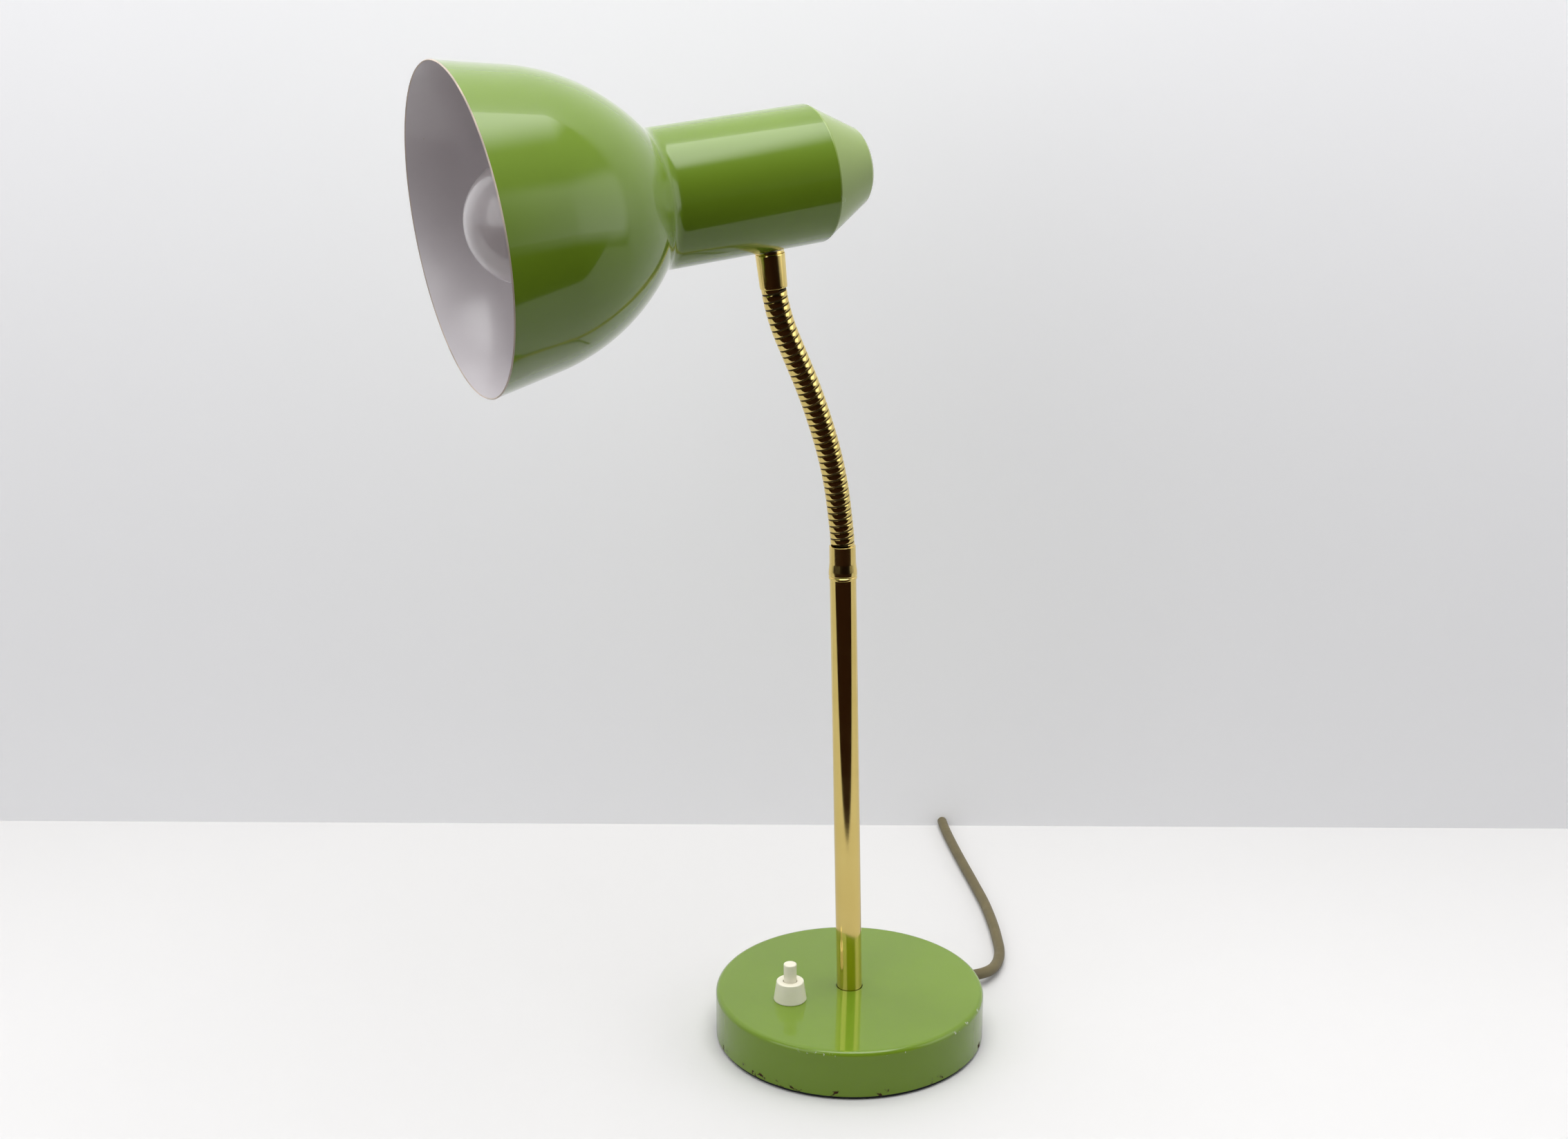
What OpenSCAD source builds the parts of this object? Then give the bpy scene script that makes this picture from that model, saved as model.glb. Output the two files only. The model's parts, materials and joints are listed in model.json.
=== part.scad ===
// Gooseneck desk lamp: round weighted base, brass stem and neck, spun shade.
// Millimetres. Origin: centre of the base's underside. +Z up, the shade looks towards -Y.

/* [Base] */
// Outer diameter of the base cover
base_d = 140; // [134:1:146]
// Height of the base from the table to its flat top
base_h = 26; // [25:1:30]
// Radius of the rounded rim of the base cover
rim_r = 2.5; // [1.5:0.5:4]
// Sheet thickness of the base cover
cover_t = 1.2; // [1:0.1:1.5]
// Thickness of the black pad under the base
pad_t = 1.5; // [1:0.1:2]

/* [Stem] */
// Outer diameter of the brass stem
stem_d = 13.2; // [12.8:0.1:13.4]
// Length of stem that shows between the base and the lower collar
stem_l = 223; // [160:1:260]
// Forward lean of the stem under the weight of the head, in degrees
stem_lean = 1.5; // [0:0.1:2]
// Height of the lower collar
collar_h = 17; // [14:1:20]

/* [Neck] */
// Outer diameter of the flexible neck
neck_d = 12; // [11:0.5:12.5]
// Length of one link of the neck
link_l = 16.75; // [15:0.25:18]
// Turns of neck band on one link
link_turns = 5; // [4:1:6]
// Height of the upper ferrule
ferrule_h = 16; // [14:1:18]

/* [Head] */
// Outer diameter of the lamp housing
housing_d = 63.6; // [63:0.1:66]
// Outer diameter of the shade's opening
opening_d = 145.6; // [142:0.2:150]
// Distance from the neck's axis forwards to the shade's opening
shade_reach = 145; // [143:1:150]
// Distance from the neck's axis back to the end of the housing
housing_back = 24; // [22:1:28]
// Length of the tapered rear cap
cap_l = 25; // [20:1:30]
// Diameter of the flat end of the rear cap
cap_end_d = 36; // [30:1:40]
// Downward tilt of the head at rest, in degrees
head_tilt = 6.7; // [0:0.1:12]
// Wall thickness of the shade
shade_t = 1; // [0.8:0.1:1.2]

/* [Switch] */
// Distance from the stem forwards to the push switch
switch_reach = 34.5; // [32:0.5:37]
// Travel of the push button
button_travel = 3; // [2:0.5:4]

/* [Bulb] */
// Diameter of the bulb's round glass
bulb_d = 56; // [50:1:58]
// Distance from the neck's axis forwards to the middle of the round glass
bulb_reach = 113; // [110:1:115]

/* [Cord] */
// Diameter of the mains lead
cord_d = 6; // [5.5:0.1:6]
// Turn of the cord's exit from straight back, in degrees
exit_turn = 8; // [6:1:10]
// Height of the cord's exit above the table
exit_h = 8; // [7.5:0.5:8.5]

/* [Hidden] */

fine = 96;
medium = 48;
// Clearance between pieces that move against each other
gap = 0.3;
// Clearances of a pressed, a threaded and a loose fit
press = 0.02;
snug = 0.05;
loose = 0.1;
// Overlap of cutting shapes past the faces they cut
past = 1;

// Colours of the finishes
green = [0.42, 0.60, 0.20];
brass = [0.80, 0.66, 0.28];
ivory = [0.90, 0.87, 0.76];
black = [0.05, 0.05, 0.05];
iron = [0.28, 0.28, 0.29];
steel = [0.66, 0.67, 0.68];
olive = [0.45, 0.39, 0.20];
porcelain = [0.92, 0.91, 0.87];
pearl = [0.96, 0.93, 0.92];
bakelite = [0.12, 0.08, 0.06];

// Base
base_r = base_d / 2;
weight_r = base_r - 8;
weight_top = base_h - cover_t - 0.2;
weight_t = 12;
weight_low = weight_top - weight_t;
slot_w = 32;
slot_near = 14;
clamp_y = 46;
clamp_x = 18;
clamp_w = 9;
clamp_t = 1.6;
screw_r = 1.5;
pad_r = base_r - 1;
stem_r = stem_d / 2;
stem_bore_r = 5;
stem_hole_r = stem_r + 0.9;
thread_r = 5;
wire_bore_r = 3.6;
// Flats and height of the nuts on the threaded tubes in the head
nut_flats = 14;
nut_h = 3;
stem_nut_flats = 17;
stem_nut_h = 5;
stem_washer_t = 1.5;
// Depth that the stem's thin end reaches below the top of the base
stem_tail = cover_t + weight_t + 8;
stem_shoulder = 1;
// Depth that the stem's top enters the lower collar
stem_socket = 3.8;

// Neck, from the top of the lower collar to the bottom of the upper ferrule
neck_r = neck_d / 2;
neck_bore_r = 3.2;
// Rest tilt from upright of each link, from the lowest to the highest, in degrees
link_tilts = [6, 9, 14, 18, 21, 24, 23, 14];
// Slope of a link's end faces, which lets neighbours tilt against each other
end_relief = 10;
groove = 0.45;
collar_top = stem_l + collar_h;

// A point at radius r and height h, turned about X by a tilt towards -Y
function tipped(tilt, h) = [-h * sin(tilt), h * cos(tilt)];
neck_start = [0, base_h] + tipped(stem_lean, collar_top);
// The lower end of link i, counted from 0
function link_foot(i) = i == 0 ? neck_start : link_foot(i - 1) + tipped(link_tilts[i - 1], link_l);
ferrule_foot = link_foot(8);

// Head: its axis crosses the ferrule's axis at head_at
housing_r = housing_d / 2;
opening_r = opening_d / 2;
washer_t = 0.8;
washer_r = 12.5;
nipple_low = 7;
ferrule_top = ferrule_h;
head_lift = ferrule_top + washer_t + 0.4 + housing_r;
head_at = ferrule_foot + tipped(head_tilt, head_lift);

// Dome of the shade: a round crown that runs into a straight skirt
skirt_slope = 10.7;
skirt_l = 31;
crown_r = 96;
skirt_back = shade_reach - skirt_l;
skirt_back_r = opening_r - skirt_l * tan(skirt_slope);
crown_at = [skirt_back + crown_r * sin(skirt_slope), skirt_back_r - crown_r * cos(skirt_slope)];
fillet_r = 8;
// Angle on the crown where the fillet to the housing starts
crown_end = acos((housing_r + fillet_r - crown_at[1]) / (crown_r + fillet_r));
fillet_at = crown_at + (crown_r + fillet_r) * [-sin(crown_end), cos(crown_end)];

// Lamp holder and bulb, all along the head's axis
carrier_s = -housing_back + 5.2;
carrier_t = 1.2;
wire_hole_r = 4;
holder_back = 10;
holder_front = 66;
holder_r = 20;
thread_bore_r = 13.6;
bulb_r = bulb_d / 2;
bulb_neck_s = 72;
bulb_cap_back = 46;
bulb_cap_l = 26;
holder_seat = 34;
holder_screw_x = 9;

// Switch
button_r = 3.4;
collar_low_r = 8.5;
collar_up_r = 7;
collar_rise = 10.5;
button_rise = 9.5;
switch_body_r = 9.5;
switch_body_l = 16;
switch_neck_r = 5;
spring_r = 3.1;
spring_wire_r = 0.45;
// Top of the switch body, close under the base cover
switch_top = base_h - cover_t - 0.2;
// Lowest face of the button: it leaves room below the cover for the travel
button_low = base_h - cover_t - 1.5 - button_travel;

// Terminal block: where it stands, and its screws' places on it
terminal_at = [-12, 18, 4];
terminal_cell = [11, 16, 9];
terminal_xs = [5.5, 18.5];
terminal_ys = [4, 12];

// Cord: its free route over the table, in points along its middle line
cord_r = cord_d / 2;
exit_dir = [-sin(exit_turn), cos(exit_turn)];
bush_out = base_r + 12;
bush_in = base_r - 12;
bush_r = 5;
bush_flange_r = 6;
// Distance from the base's centre at which the lead's sheath starts
lead_start = 36;
lead_route = [concat(bush_out * exit_dir, [exit_h]), [-13.5, 90, 6.6], [-18.5, 99, 4.8],
    [-27, 108, 3.5], [-38, 116, 3], [-52, 123, 3], [-70, 131, 3], [-96, 141, 3],
    [-124, 150, 3], [-153, 159, 3], [-181, 168, 3], [-207, 177, 3], [-232, 187, 3],
    [-253, 195, 3.3], [-273, 203, 3.6]];
coil_at = [-289, 163];
coil_in_r = 22;
coil_out_r = 50;
coil_low = 0.6;
coil_top = 12.8;
tail_route = [[-333.5, 147, 9.6], [-330.5, 136, 9.2], [-327.5, 125, 8.2], [-324.5, 114, 7.3],
    [-322, 104.5, 7]];
plug_at = [-322, 104.5, 7];
plug_turn = 195;
tie_t = 0.6;
tie_w = 8;
tie_turn = 300;
plug_relief = 20;
plug_taper = 12;
plug_l = 36;
plug_w = 35;
plug_h = 13.7;
pin_r = 2;
pin_l = 19;
pin_gap = 19;

// Points on an arc from angle a0 to a1, both measured from +Y towards -X
function arc(at, r, a0, a1, steps) =
    [for (i = [0:steps]) let(a = a0 + (a1 - a0) * i / steps) at + r * [-sin(a), cos(a)]];

module turned(outline, smooth = fine) {
    rotate_extrude($fn = smooth) polygon(outline);
}

module ring(r_out, r_in, h, smooth = fine) {
    difference() {
        cylinder(r = r_out, h = h, $fn = smooth);
        translate([0, 0, -1]) cylinder(r = r_in, h = h + 2, $fn = smooth);
    }
}

module hex_nut(flats, r_in, h) {
    difference() {
        cylinder(r = flats / 2 / cos(30), h = h, $fn = 6);
        translate([0, 0, -1]) cylinder(r = r_in, h = h + 2, $fn = medium);
    }
}

// Places: along the leaning stem, on link i, on the ferrule, and along the head's axis
module on_stem() {
    translate([0, 0, base_h]) rotate([stem_lean, 0, 0]) children();
}

module on_link(i) {
    translate([0, link_foot(i)[0], link_foot(i)[1]]) rotate([link_tilts[i], 0, 0]) children();
}

module on_ferrule() {
    translate([0, ferrule_foot[0], ferrule_foot[1]]) rotate([head_tilt, 0, 0]) children();
}

// Local Z runs forwards along the head's axis, local Y runs up
module on_head() {
    translate([0, head_at[0], head_at[1]]) rotate([90 + head_tilt, 0, 0]) children();
}

module on_exit(h) {
    rotate([0, 0, exit_turn]) translate([0, 0, h]) rotate([-90, 0, 0]) children();
}

module at_switch() {
    translate([0, -switch_reach, 0]) children();
}

// A tube swept along a route as one closed polyhedron
module swept_tube(route, r, sides = 8) {
    n = len(route);
    rings = [for (i = [0:n - 1])
        let(ahead = route[min(i + 1, n - 1)] - route[max(i - 1, 0)],
            along = ahead / norm(ahead),
            flat = cross(along, [0, 0, 1]),
            side = flat / norm(flat),
            up = cross(side, along))
        for (k = [0:sides - 1])
            route[i] + r * (cos(360 * k / sides) * side + sin(360 * k / sides) * up)];
    walls = [for (i = [0:n - 2]) for (k = [0:sides - 1])
        let(a = i * sides + k, b = i * sides + (k + 1) % sides)
        [a, b, b + sides, a + sides]];
    ends = [[for (k = [sides - 1:-1:0]) k], [for (k = [0:sides - 1]) (n - 1) * sides + k]];
    polyhedron(points = rings, faces = concat(walls, ends), convexity = 4);
}

// --- Base ---

module base_cover() {
    shell = concat(
        [[0, base_h]], [[base_r - rim_r, base_h]],
        arc([base_r - rim_r, base_h - rim_r], rim_r, 0, -90, 6),
        [[base_r, pad_t], [base_r - cover_t, pad_t]],
        arc([base_r - rim_r, base_h - rim_r], rim_r - cover_t, -90, 0, 6),
        [[0, base_h - cover_t]]);
    color(green) difference() {
        turned(shell);
        translate([0, 0, base_h - 5]) cylinder(r = stem_hole_r, h = 10, $fn = medium);
        at_switch() translate([0, 0, base_h - 5]) cylinder(r = switch_neck_r + 0.2, h = 10, $fn = medium);
        on_exit(exit_h) translate([0, 0, base_r - 6]) cylinder(r = bush_r + loose, h = 12, $fn = medium);
    }
}

module base_weight() {
    color(iron) difference() {
        translate([0, 0, weight_low]) cylinder(r = weight_r, h = weight_t, $fn = fine);
        cylinder(r = thread_r + 0.8, h = base_h, $fn = medium);
        at_switch() cylinder(r = switch_body_r + 1.5, h = base_h, $fn = medium);
        rotate([0, 0, exit_turn]) {
            translate([-slot_w / 2, slot_near, 0]) cube([slot_w, base_r, base_h]);
            for (x = [-clamp_x, clamp_x]) translate([x, clamp_y, 0])
                cylinder(r = screw_r + 0.03, h = weight_low + 6, $fn = medium);
        }
    }
}

module base_pad() {
    color(black) cylinder(r = pad_r, h = pad_t, $fn = fine);
}

// --- Stem ---

module stem_tube() {
    color(brass) on_stem() difference() {
        union() {
            translate([0, 0, -stem_shoulder])
                cylinder(r = stem_r, h = stem_l + stem_shoulder + stem_socket, $fn = fine);
            translate([0, 0, -stem_tail]) cylinder(r = thread_r, h = stem_tail, $fn = fine);
        }
        translate([0, 0, -stem_tail - past]) cylinder(r = wire_bore_r, h = stem_tail + 2.5, $fn = medium);
        translate([0, 0, 1]) cylinder(r = stem_bore_r, h = stem_l + 5, $fn = medium);
    }
}

module stem_washer() {
    color(steel) on_stem() translate([0, 0, weight_low - base_h - stem_washer_t - 0.35])
        ring(11, thread_r + loose, stem_washer_t);
}

module stem_nut() {
    color(steel) on_stem() translate([0, 0, weight_low - base_h - stem_washer_t - stem_nut_h - 0.4])
        hex_nut(stem_nut_flats, thread_r + press, stem_nut_h);
}

module stem_lead() {
    color(olive) on_stem() translate([0, 0, -stem_tail + 1])
        cylinder(r = wire_bore_r - 0.6, h = stem_tail + stem_l + collar_h - 4, $fn = medium);
}

module lower_collar() {
    inside = stem_r + 0.03;
    color(brass) on_stem() translate([0, 0, stem_l]) difference() {
        turned([[0, 0], [stem_r + 0.4, 0], [stem_r + 0.5, 1.2], [stem_r + 0.35, 1.6],
            [stem_r + 0.35, 2], [stem_r + 0.6, 2.5], [stem_r + 0.4, 4.5], [stem_r - 0.1, 9],
            [stem_r - 0.1, collar_h - gap - stem_r * tan(end_relief)], [0, collar_h - gap]]);
        translate([0, 0, -past]) cylinder(r = inside, h = stem_socket + past + 0.2, $fn = fine);
        translate([0, 0, -past]) cylinder(r = neck_bore_r, h = collar_h + 5, $fn = medium);
        translate([0, 0, 3]) cylinder(r = stem_r - 1.2, h = collar_h - 7, $fn = medium);
    }
}

// --- Switch ---

module switch_body() {
    color(bakelite) at_switch() translate([0, 0, switch_top]) difference() {
        union() {
            translate([0, 0, -switch_body_l]) cylinder(r = switch_body_r, h = switch_body_l, $fn = medium);
            translate([0, 0, -1]) cylinder(r = switch_neck_r, h = 5, $fn = medium);
        }
        translate([0, 0, -13]) cylinder(r = button_r + 1.4, h = 11, $fn = medium);
        translate([0, 0, -4]) cylinder(r = button_r + loose, h = 12, $fn = medium);
    }
}

module switch_collar() {
    color(ivory) at_switch() translate([0, 0, base_h]) difference() {
        turned([[0, 0], [collar_low_r - 0.3, 0], [collar_low_r, 0.3], [collar_up_r, collar_rise - 0.6],
            [collar_up_r - 0.6, collar_rise], [0, collar_rise]], medium);
        translate([0, 0, -past]) cylinder(r = switch_neck_r + 0.03, h = 4, $fn = medium);
        translate([0, 0, 2]) cylinder(r = button_r + 0.6, h = 12, $fn = medium);
    }
}

module switch_button() {
    top = base_h + collar_rise + button_rise;
    bevel = 0.6;
    color(ivory) at_switch() union() {
        translate([0, 0, button_low]) cylinder(r = button_r, h = top - button_low - bevel, $fn = medium);
        translate([0, 0, top - bevel - 0.01])
            cylinder(r1 = button_r, r2 = button_r - bevel, h = bevel + 0.01, $fn = medium);
        translate([0, 0, button_low]) cylinder(r = button_r + 0.9, h = 1, $fn = medium);
    }
}

module switch_spring() {
    foot = base_h - cover_t - 12.5;
    step = (button_low - foot - 0.6) / 4;
    color(steel) at_switch() for (i = [0:4]) translate([0, 0, foot + i * step])
        rotate_extrude($fn = medium) translate([spring_r, 0]) circle(r = spring_wire_r, $fn = 16);
}

module terminal_block() {
    color(porcelain) rotate([0, 0, exit_turn]) translate(terminal_at) difference() {
        union() {
            cube(terminal_cell);
            translate([terminal_cell[0] + 2, 0, 0]) cube(terminal_cell);
            translate([terminal_cell[0] - 1, 5, 0]) cube([4, 6, 6]);
        }
        for (x = terminal_xs) for (y = terminal_ys)
            translate([x, y, 3]) cylinder(r = 2 + loose, h = 8, $fn = medium);
    }
}

module terminal_screws() {
    color(brass) rotate([0, 0, exit_turn]) translate(terminal_at) for (x = terminal_xs) for (y = terminal_ys)
        translate([x, y, 3.05]) difference() {
            cylinder(r = 2, h = 4.5, $fn = medium);
            translate([-3, -0.3, 3.7]) cube([6, 0.6, 2]);
        }
}

// --- Cord ---

// Tapered sleeve that guards the lead where it passes through the base cover
module cord_bush() {
    color(black) on_exit(exit_h) difference() {
        union() {
            translate([0, 0, bush_in]) cylinder(r = bush_r, h = base_r - bush_in + 1, $fn = medium);
            translate([0, 0, base_r - cover_t - 2.5]) cylinder(r = bush_flange_r, h = 2, $fn = medium);
            translate([0, 0, base_r + 0.2]) cylinder(r = bush_flange_r, h = 1.4, $fn = medium);
            translate([0, 0, base_r + 1])
                cylinder(r1 = bush_r, r2 = cord_r + 0.9, h = bush_out - base_r - 1, $fn = medium);
        }
        translate([0, 0, bush_in - past]) cylinder(r = cord_r + snug, h = 40, $fn = medium);
    }
}

// The lead's own end, from the terminal block out to the mouth of the bush
module lead_inside() {
    color(olive) on_exit(exit_h) translate([0, 0, lead_start])
        cylinder(r = cord_r, h = bush_out - lead_start, $fn = medium);
}

// Strap under the weight that grips the lead
module cord_clamp() {
    half = clamp_x + 4;
    color(steel) rotate([0, 0, exit_turn]) translate([0, clamp_y - clamp_w / 2, 0]) difference() {
        union() {
            translate([-half, 0, weight_low - 0.1 - clamp_t]) cube([2 * half, clamp_w, clamp_t]);
            translate([0, 0, exit_h]) rotate([-90, 0, 0])
                cylinder(r = cord_r + clamp_t, h = clamp_w, $fn = medium);
        }
        translate([0, -past, exit_h]) rotate([-90, 0, 0])
            cylinder(r = cord_r + snug, h = clamp_w + 2 * past, $fn = medium);
        for (x = [-clamp_x, clamp_x]) translate([x, clamp_w / 2, 0])
            cylinder(r = screw_r + loose, h = base_h, $fn = medium);
    }
}

module clamp_screws() {
    color(steel) rotate([0, 0, exit_turn]) for (x = [-clamp_x, clamp_x])
        translate([x, clamp_y, weight_low - 0.1 - clamp_t]) union() {
            translate([0, 0, -1]) cylinder(r = screw_r, h = 7, $fn = medium);
            translate([0, 0, -2.1]) cylinder(r = 2 * screw_r, h = 2, $fn = medium);
        }
}

module cord_lead() {
    color(olive) swept_tube(lead_route, cord_r);
}

module cord_coil() {
    color(olive) translate([coil_at[0], coil_at[1], 0])
        turned([[coil_in_r, coil_low + 2], [coil_in_r + 2, coil_low], [coil_out_r - 2, coil_low],
            [coil_out_r, coil_low + 2], [coil_out_r, coil_top - 2], [coil_out_r - 2, coil_top],
            [coil_in_r + 2, coil_top], [coil_in_r, coil_top - 2]]);
}

module cord_tail() {
    color(olive) swept_tube(tail_route, cord_r);
}

module cord_tie() {
    across = coil_out_r - coil_in_r;
    color(black) translate([coil_at[0], coil_at[1], 0]) rotate([0, 0, tie_turn])
        translate([coil_in_r - tie_t, -tie_w / 2, 0]) difference() {
            cube([across + 2 * tie_t, tie_w, coil_top + tie_t]);
            translate([tie_t, -past, coil_low]) cube([across, tie_w + 2 * past, coil_top - coil_low]);
        }
}

// Flat two-pin plug; local Z runs from the cord to the pins
module on_plug() {
    translate(plug_at) rotate([0, 0, plug_turn]) rotate([-90, 0, 0]) children();
}

module plug_body() {
    color(black) on_plug() difference() {
        union() {
            cylinder(r1 = cord_r + 0.8, r2 = cord_r + 2.4, h = plug_relief, $fn = medium);
            hull() {
                translate([0, 0, plug_relief - 2]) linear_extrude(2) square([plug_w / 2, 11], center = true);
                translate([0, 0, plug_relief + plug_taper - 2]) linear_extrude(2)
                    square([plug_w, plug_h], center = true);
            }
            translate([0, 0, plug_relief + plug_taper]) linear_extrude(plug_l - plug_taper)
                square([plug_w, plug_h], center = true);
        }
        translate([0, 0, -past]) cylinder(r = cord_r + snug, h = 9, $fn = medium);
    }
}

module plug_pins() {
    color(steel) on_plug() for (x = [-pin_gap / 2, pin_gap / 2])
        translate([x, 0, plug_relief + plug_l]) union() {
            cylinder(r = pin_r, h = pin_l - 1, $fn = medium);
            translate([0, 0, pin_l - 1]) cylinder(r1 = pin_r, r2 = pin_r - 0.8, h = 1, $fn = medium);
        }
}

// --- Neck ---

// One link: a bored barrel with a groove between turns and sloping end faces
module neck_link(i) {
    inner = gap / 2 + neck_bore_r * tan(end_relief);
    outer = gap / 2 + neck_r * tan(end_relief);
    turn_l = (link_l - 2 * outer) / link_turns;
    side = [for (k = [0:link_turns - 1]) each [
        [neck_r - (k == 0 ? 0 : groove), outer + k * turn_l],
        [neck_r, outer + (k + 0.2) * turn_l],
        [neck_r, outer + (k + 0.8) * turn_l]]];
    color(brass) on_link(i) turned(concat(
        [[neck_bore_r, inner]], side,
        [[neck_r - 0.1, link_l - outer], [neck_bore_r, link_l - inner]]), medium);
}

module upper_ferrule() {
    relief = (neck_r + 0.4) * tan(end_relief);
    color(brass) on_ferrule() difference() {
        turned([[0, gap / 2], [neck_r + 0.4, relief + gap / 2], [stem_r + 0.4, ferrule_top - 0.5],
            [stem_r, ferrule_top], [0, ferrule_top]]);
        translate([0, 0, -past]) cylinder(r = neck_bore_r, h = ferrule_h + 5, $fn = medium);
        translate([0, 0, nipple_low]) cylinder(r = thread_r, h = ferrule_h, $fn = medium);
    }
}

// Threaded tube that carries the head; the wires pass through it
module head_nipple() {
    color(steel) on_ferrule() translate([0, 0, nipple_low])
        ring(thread_r, wire_bore_r, ferrule_h - nipple_low + 9.5);
}

module head_nut() {
    // Height at which the housing's inner wall clears the nut's corners
    under = head_lift - sqrt(pow(housing_r - shade_t, 2) - 81) + 0.4;
    color(steel) on_ferrule() translate([0, 0, under]) hex_nut(nut_flats, thread_r + press, nut_h);
}

// Thin round washer curved to the housing
module saddle_washer() {
    inner = housing_r + loose;
    color(brass) intersection() {
        on_ferrule() translate([0, 0, ferrule_top - 5]) ring(washer_r, thread_r + loose, 14);
        on_head() translate([0, 0, -20]) ring(inner + washer_t, inner, 40);
    }
}

// --- Head ---

// Half outline of the shade: [radius, distance forwards], offset inwards by t
function shade_side(t) = concat(
    [[housing_r - t, -housing_back]],
    [for (p = arc(fillet_at, fillet_r + t, 180, 180 + crown_end, 6)) [p[1], p[0]]],
    [for (p = arc(crown_at, crown_r - t, crown_end - 2, skirt_slope, 14)) [p[1], p[0]]],
    [[opening_r - t, shade_reach]]);

module shade() {
    outside = shade_side(0);
    inside = shade_side(shade_t);
    n = len(inside);
    color(green) difference() {
        on_head() turned(concat(outside, [for (i = [n - 1:-1:0]) inside[i]]));
        on_ferrule() cylinder(r = thread_r + 0.08, h = 40, $fn = medium);
    }
}

module rear_cap() {
    lip = housing_r - shade_t - 0.05;
    edge = housing_r - 0.3;
    end_r = cap_end_d / 2;
    back = -housing_back - cap_l;
    color(green) on_head() turned([[lip, -housing_back + 5], [lip, -housing_back],
        [edge, -housing_back], [edge, -housing_back - 0.6], [end_r, back + 1.5],
        [end_r - 0.5, back + 0.5], [end_r - 1.6, back], [0, back], [0, back + 1.2],
        [end_r - 2.2, back + 1.2], [lip - 1.2, -housing_back - 0.2], [lip - 1.2, -housing_back + 5]]);
}

// Pressed plate across the housing's rear end
module socket_carrier() {
    color(steel) on_head() translate([0, 0, carrier_s]) difference() {
        cylinder(r = housing_r - shade_t - loose, h = carrier_t, $fn = fine);
        translate([0, 0, -past]) cylinder(r = thread_r + snug, h = 4, $fn = medium);
        for (a = [45:90:315]) rotate([0, 0, a]) translate([19, 0, -past])
            cylinder(r = wire_hole_r, h = 4, $fn = medium);
    }
}

module socket_tube() {
    low = carrier_s - 6.2;
    color(brass) on_head() translate([0, 0, low]) ring(thread_r, wire_bore_r, holder_back + 4 - low);
}

module socket_nuts() {
    color(steel) on_head() {
        translate([0, 0, carrier_s - nut_h - 0.2]) hex_nut(nut_flats, thread_r + press, nut_h);
        translate([0, 0, holder_back - nut_h - 0.4]) hex_nut(nut_flats, thread_r + press, nut_h);
    }
}

module socket_body() {
    color(bakelite) on_head() difference() {
        turned([[0, holder_back], [12, holder_back], [holder_r - 2, holder_back + 6],
            [holder_r, holder_back + 10], [holder_r, holder_back + 30], [holder_r - 1.5, holder_back + 32],
            [holder_r - 1.5, holder_front - 1], [holder_r - 2.5, holder_front], [0, holder_front]]);
        translate([0, 0, holder_back - past]) cylinder(r = thread_r + press, h = 6, $fn = medium);
        translate([0, 0, holder_seat]) cylinder(r = thread_bore_r + 1, h = 50, $fn = fine);
        for (x = [-holder_screw_x, holder_screw_x]) translate([x, 0, 15])
            cylinder(r = 2, h = 30, $fn = medium);
    }
}

module socket_thread() {
    color(brass) on_head() translate([0, 0, holder_seat + 2])
        ring(thread_bore_r + 0.9, thread_bore_r + 0.3, 27);
}

module socket_contact() {
    color(brass) on_head() union() {
        translate([-4, -3, holder_seat + 0.1]) cube([8, 6, 0.8]);
        translate([0, 0, holder_seat + 0.8])
            cylinder(r = 2.5, h = bulb_cap_back - 4.2 - holder_seat, $fn = medium);
    }
}

module socket_screws() {
    color(brass) on_head() for (x = [-holder_screw_x, holder_screw_x]) translate([x, 0, 16]) union() {
        cylinder(r = 1.9, h = 18.3, $fn = medium);
        translate([0, 0, 18.1]) cylinder(r = 3, h = 1.2, $fn = medium);
    }
}

// --- Bulb ---

// Half outline of the bulb's glass, offset inwards by t
function bulb_side(t) = concat(
    [for (i = [1:14]) let(a = i * 9) [(bulb_r - t) * sin(a), bulb_reach + (bulb_r - t) * cos(a)]],
    [[16 - t, bulb_reach - bulb_r + 1], [14.5 - t, bulb_neck_s + 6], [12.6 - t, bulb_neck_s + 1.6],
        [12.6 - t, bulb_neck_s - 6]]);

module bulb_glass() {
    wall = 0.8;
    outside = bulb_side(0);
    inside = bulb_side(wall);
    n = len(inside);
    color(pearl) on_head() turned(concat([[0, bulb_reach + bulb_r]], outside,
        [for (i = [n - 1:-1:0]) inside[i]], [[0, bulb_reach + bulb_r - wall]]));
}

module bulb_cap() {
    color(steel) on_head() difference() {
        union() {
            translate([0, 0, bulb_cap_back + 4]) cylinder(r = 13.1, h = bulb_cap_l - 4, $fn = medium);
            translate([0, 0, bulb_cap_back]) cylinder(r1 = 8, r2 = 13.1, h = 4, $fn = medium);
            translate([0, 0, bulb_cap_back + bulb_cap_l - 0.1]) cylinder(r = 13.5, h = 1.1, $fn = medium);
        }
        translate([0, 0, bulb_cap_back + 5]) cylinder(r = 12.7, h = 30, $fn = medium);
    }
}

module bulb_tip() {
    color(bakelite) on_head() translate([0, 0, bulb_cap_back - 2.9])
        turned([[0, 0], [3, 0], [4.6, 1], [7.5, 2.85], [0, 2.85]], medium);
}

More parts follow.
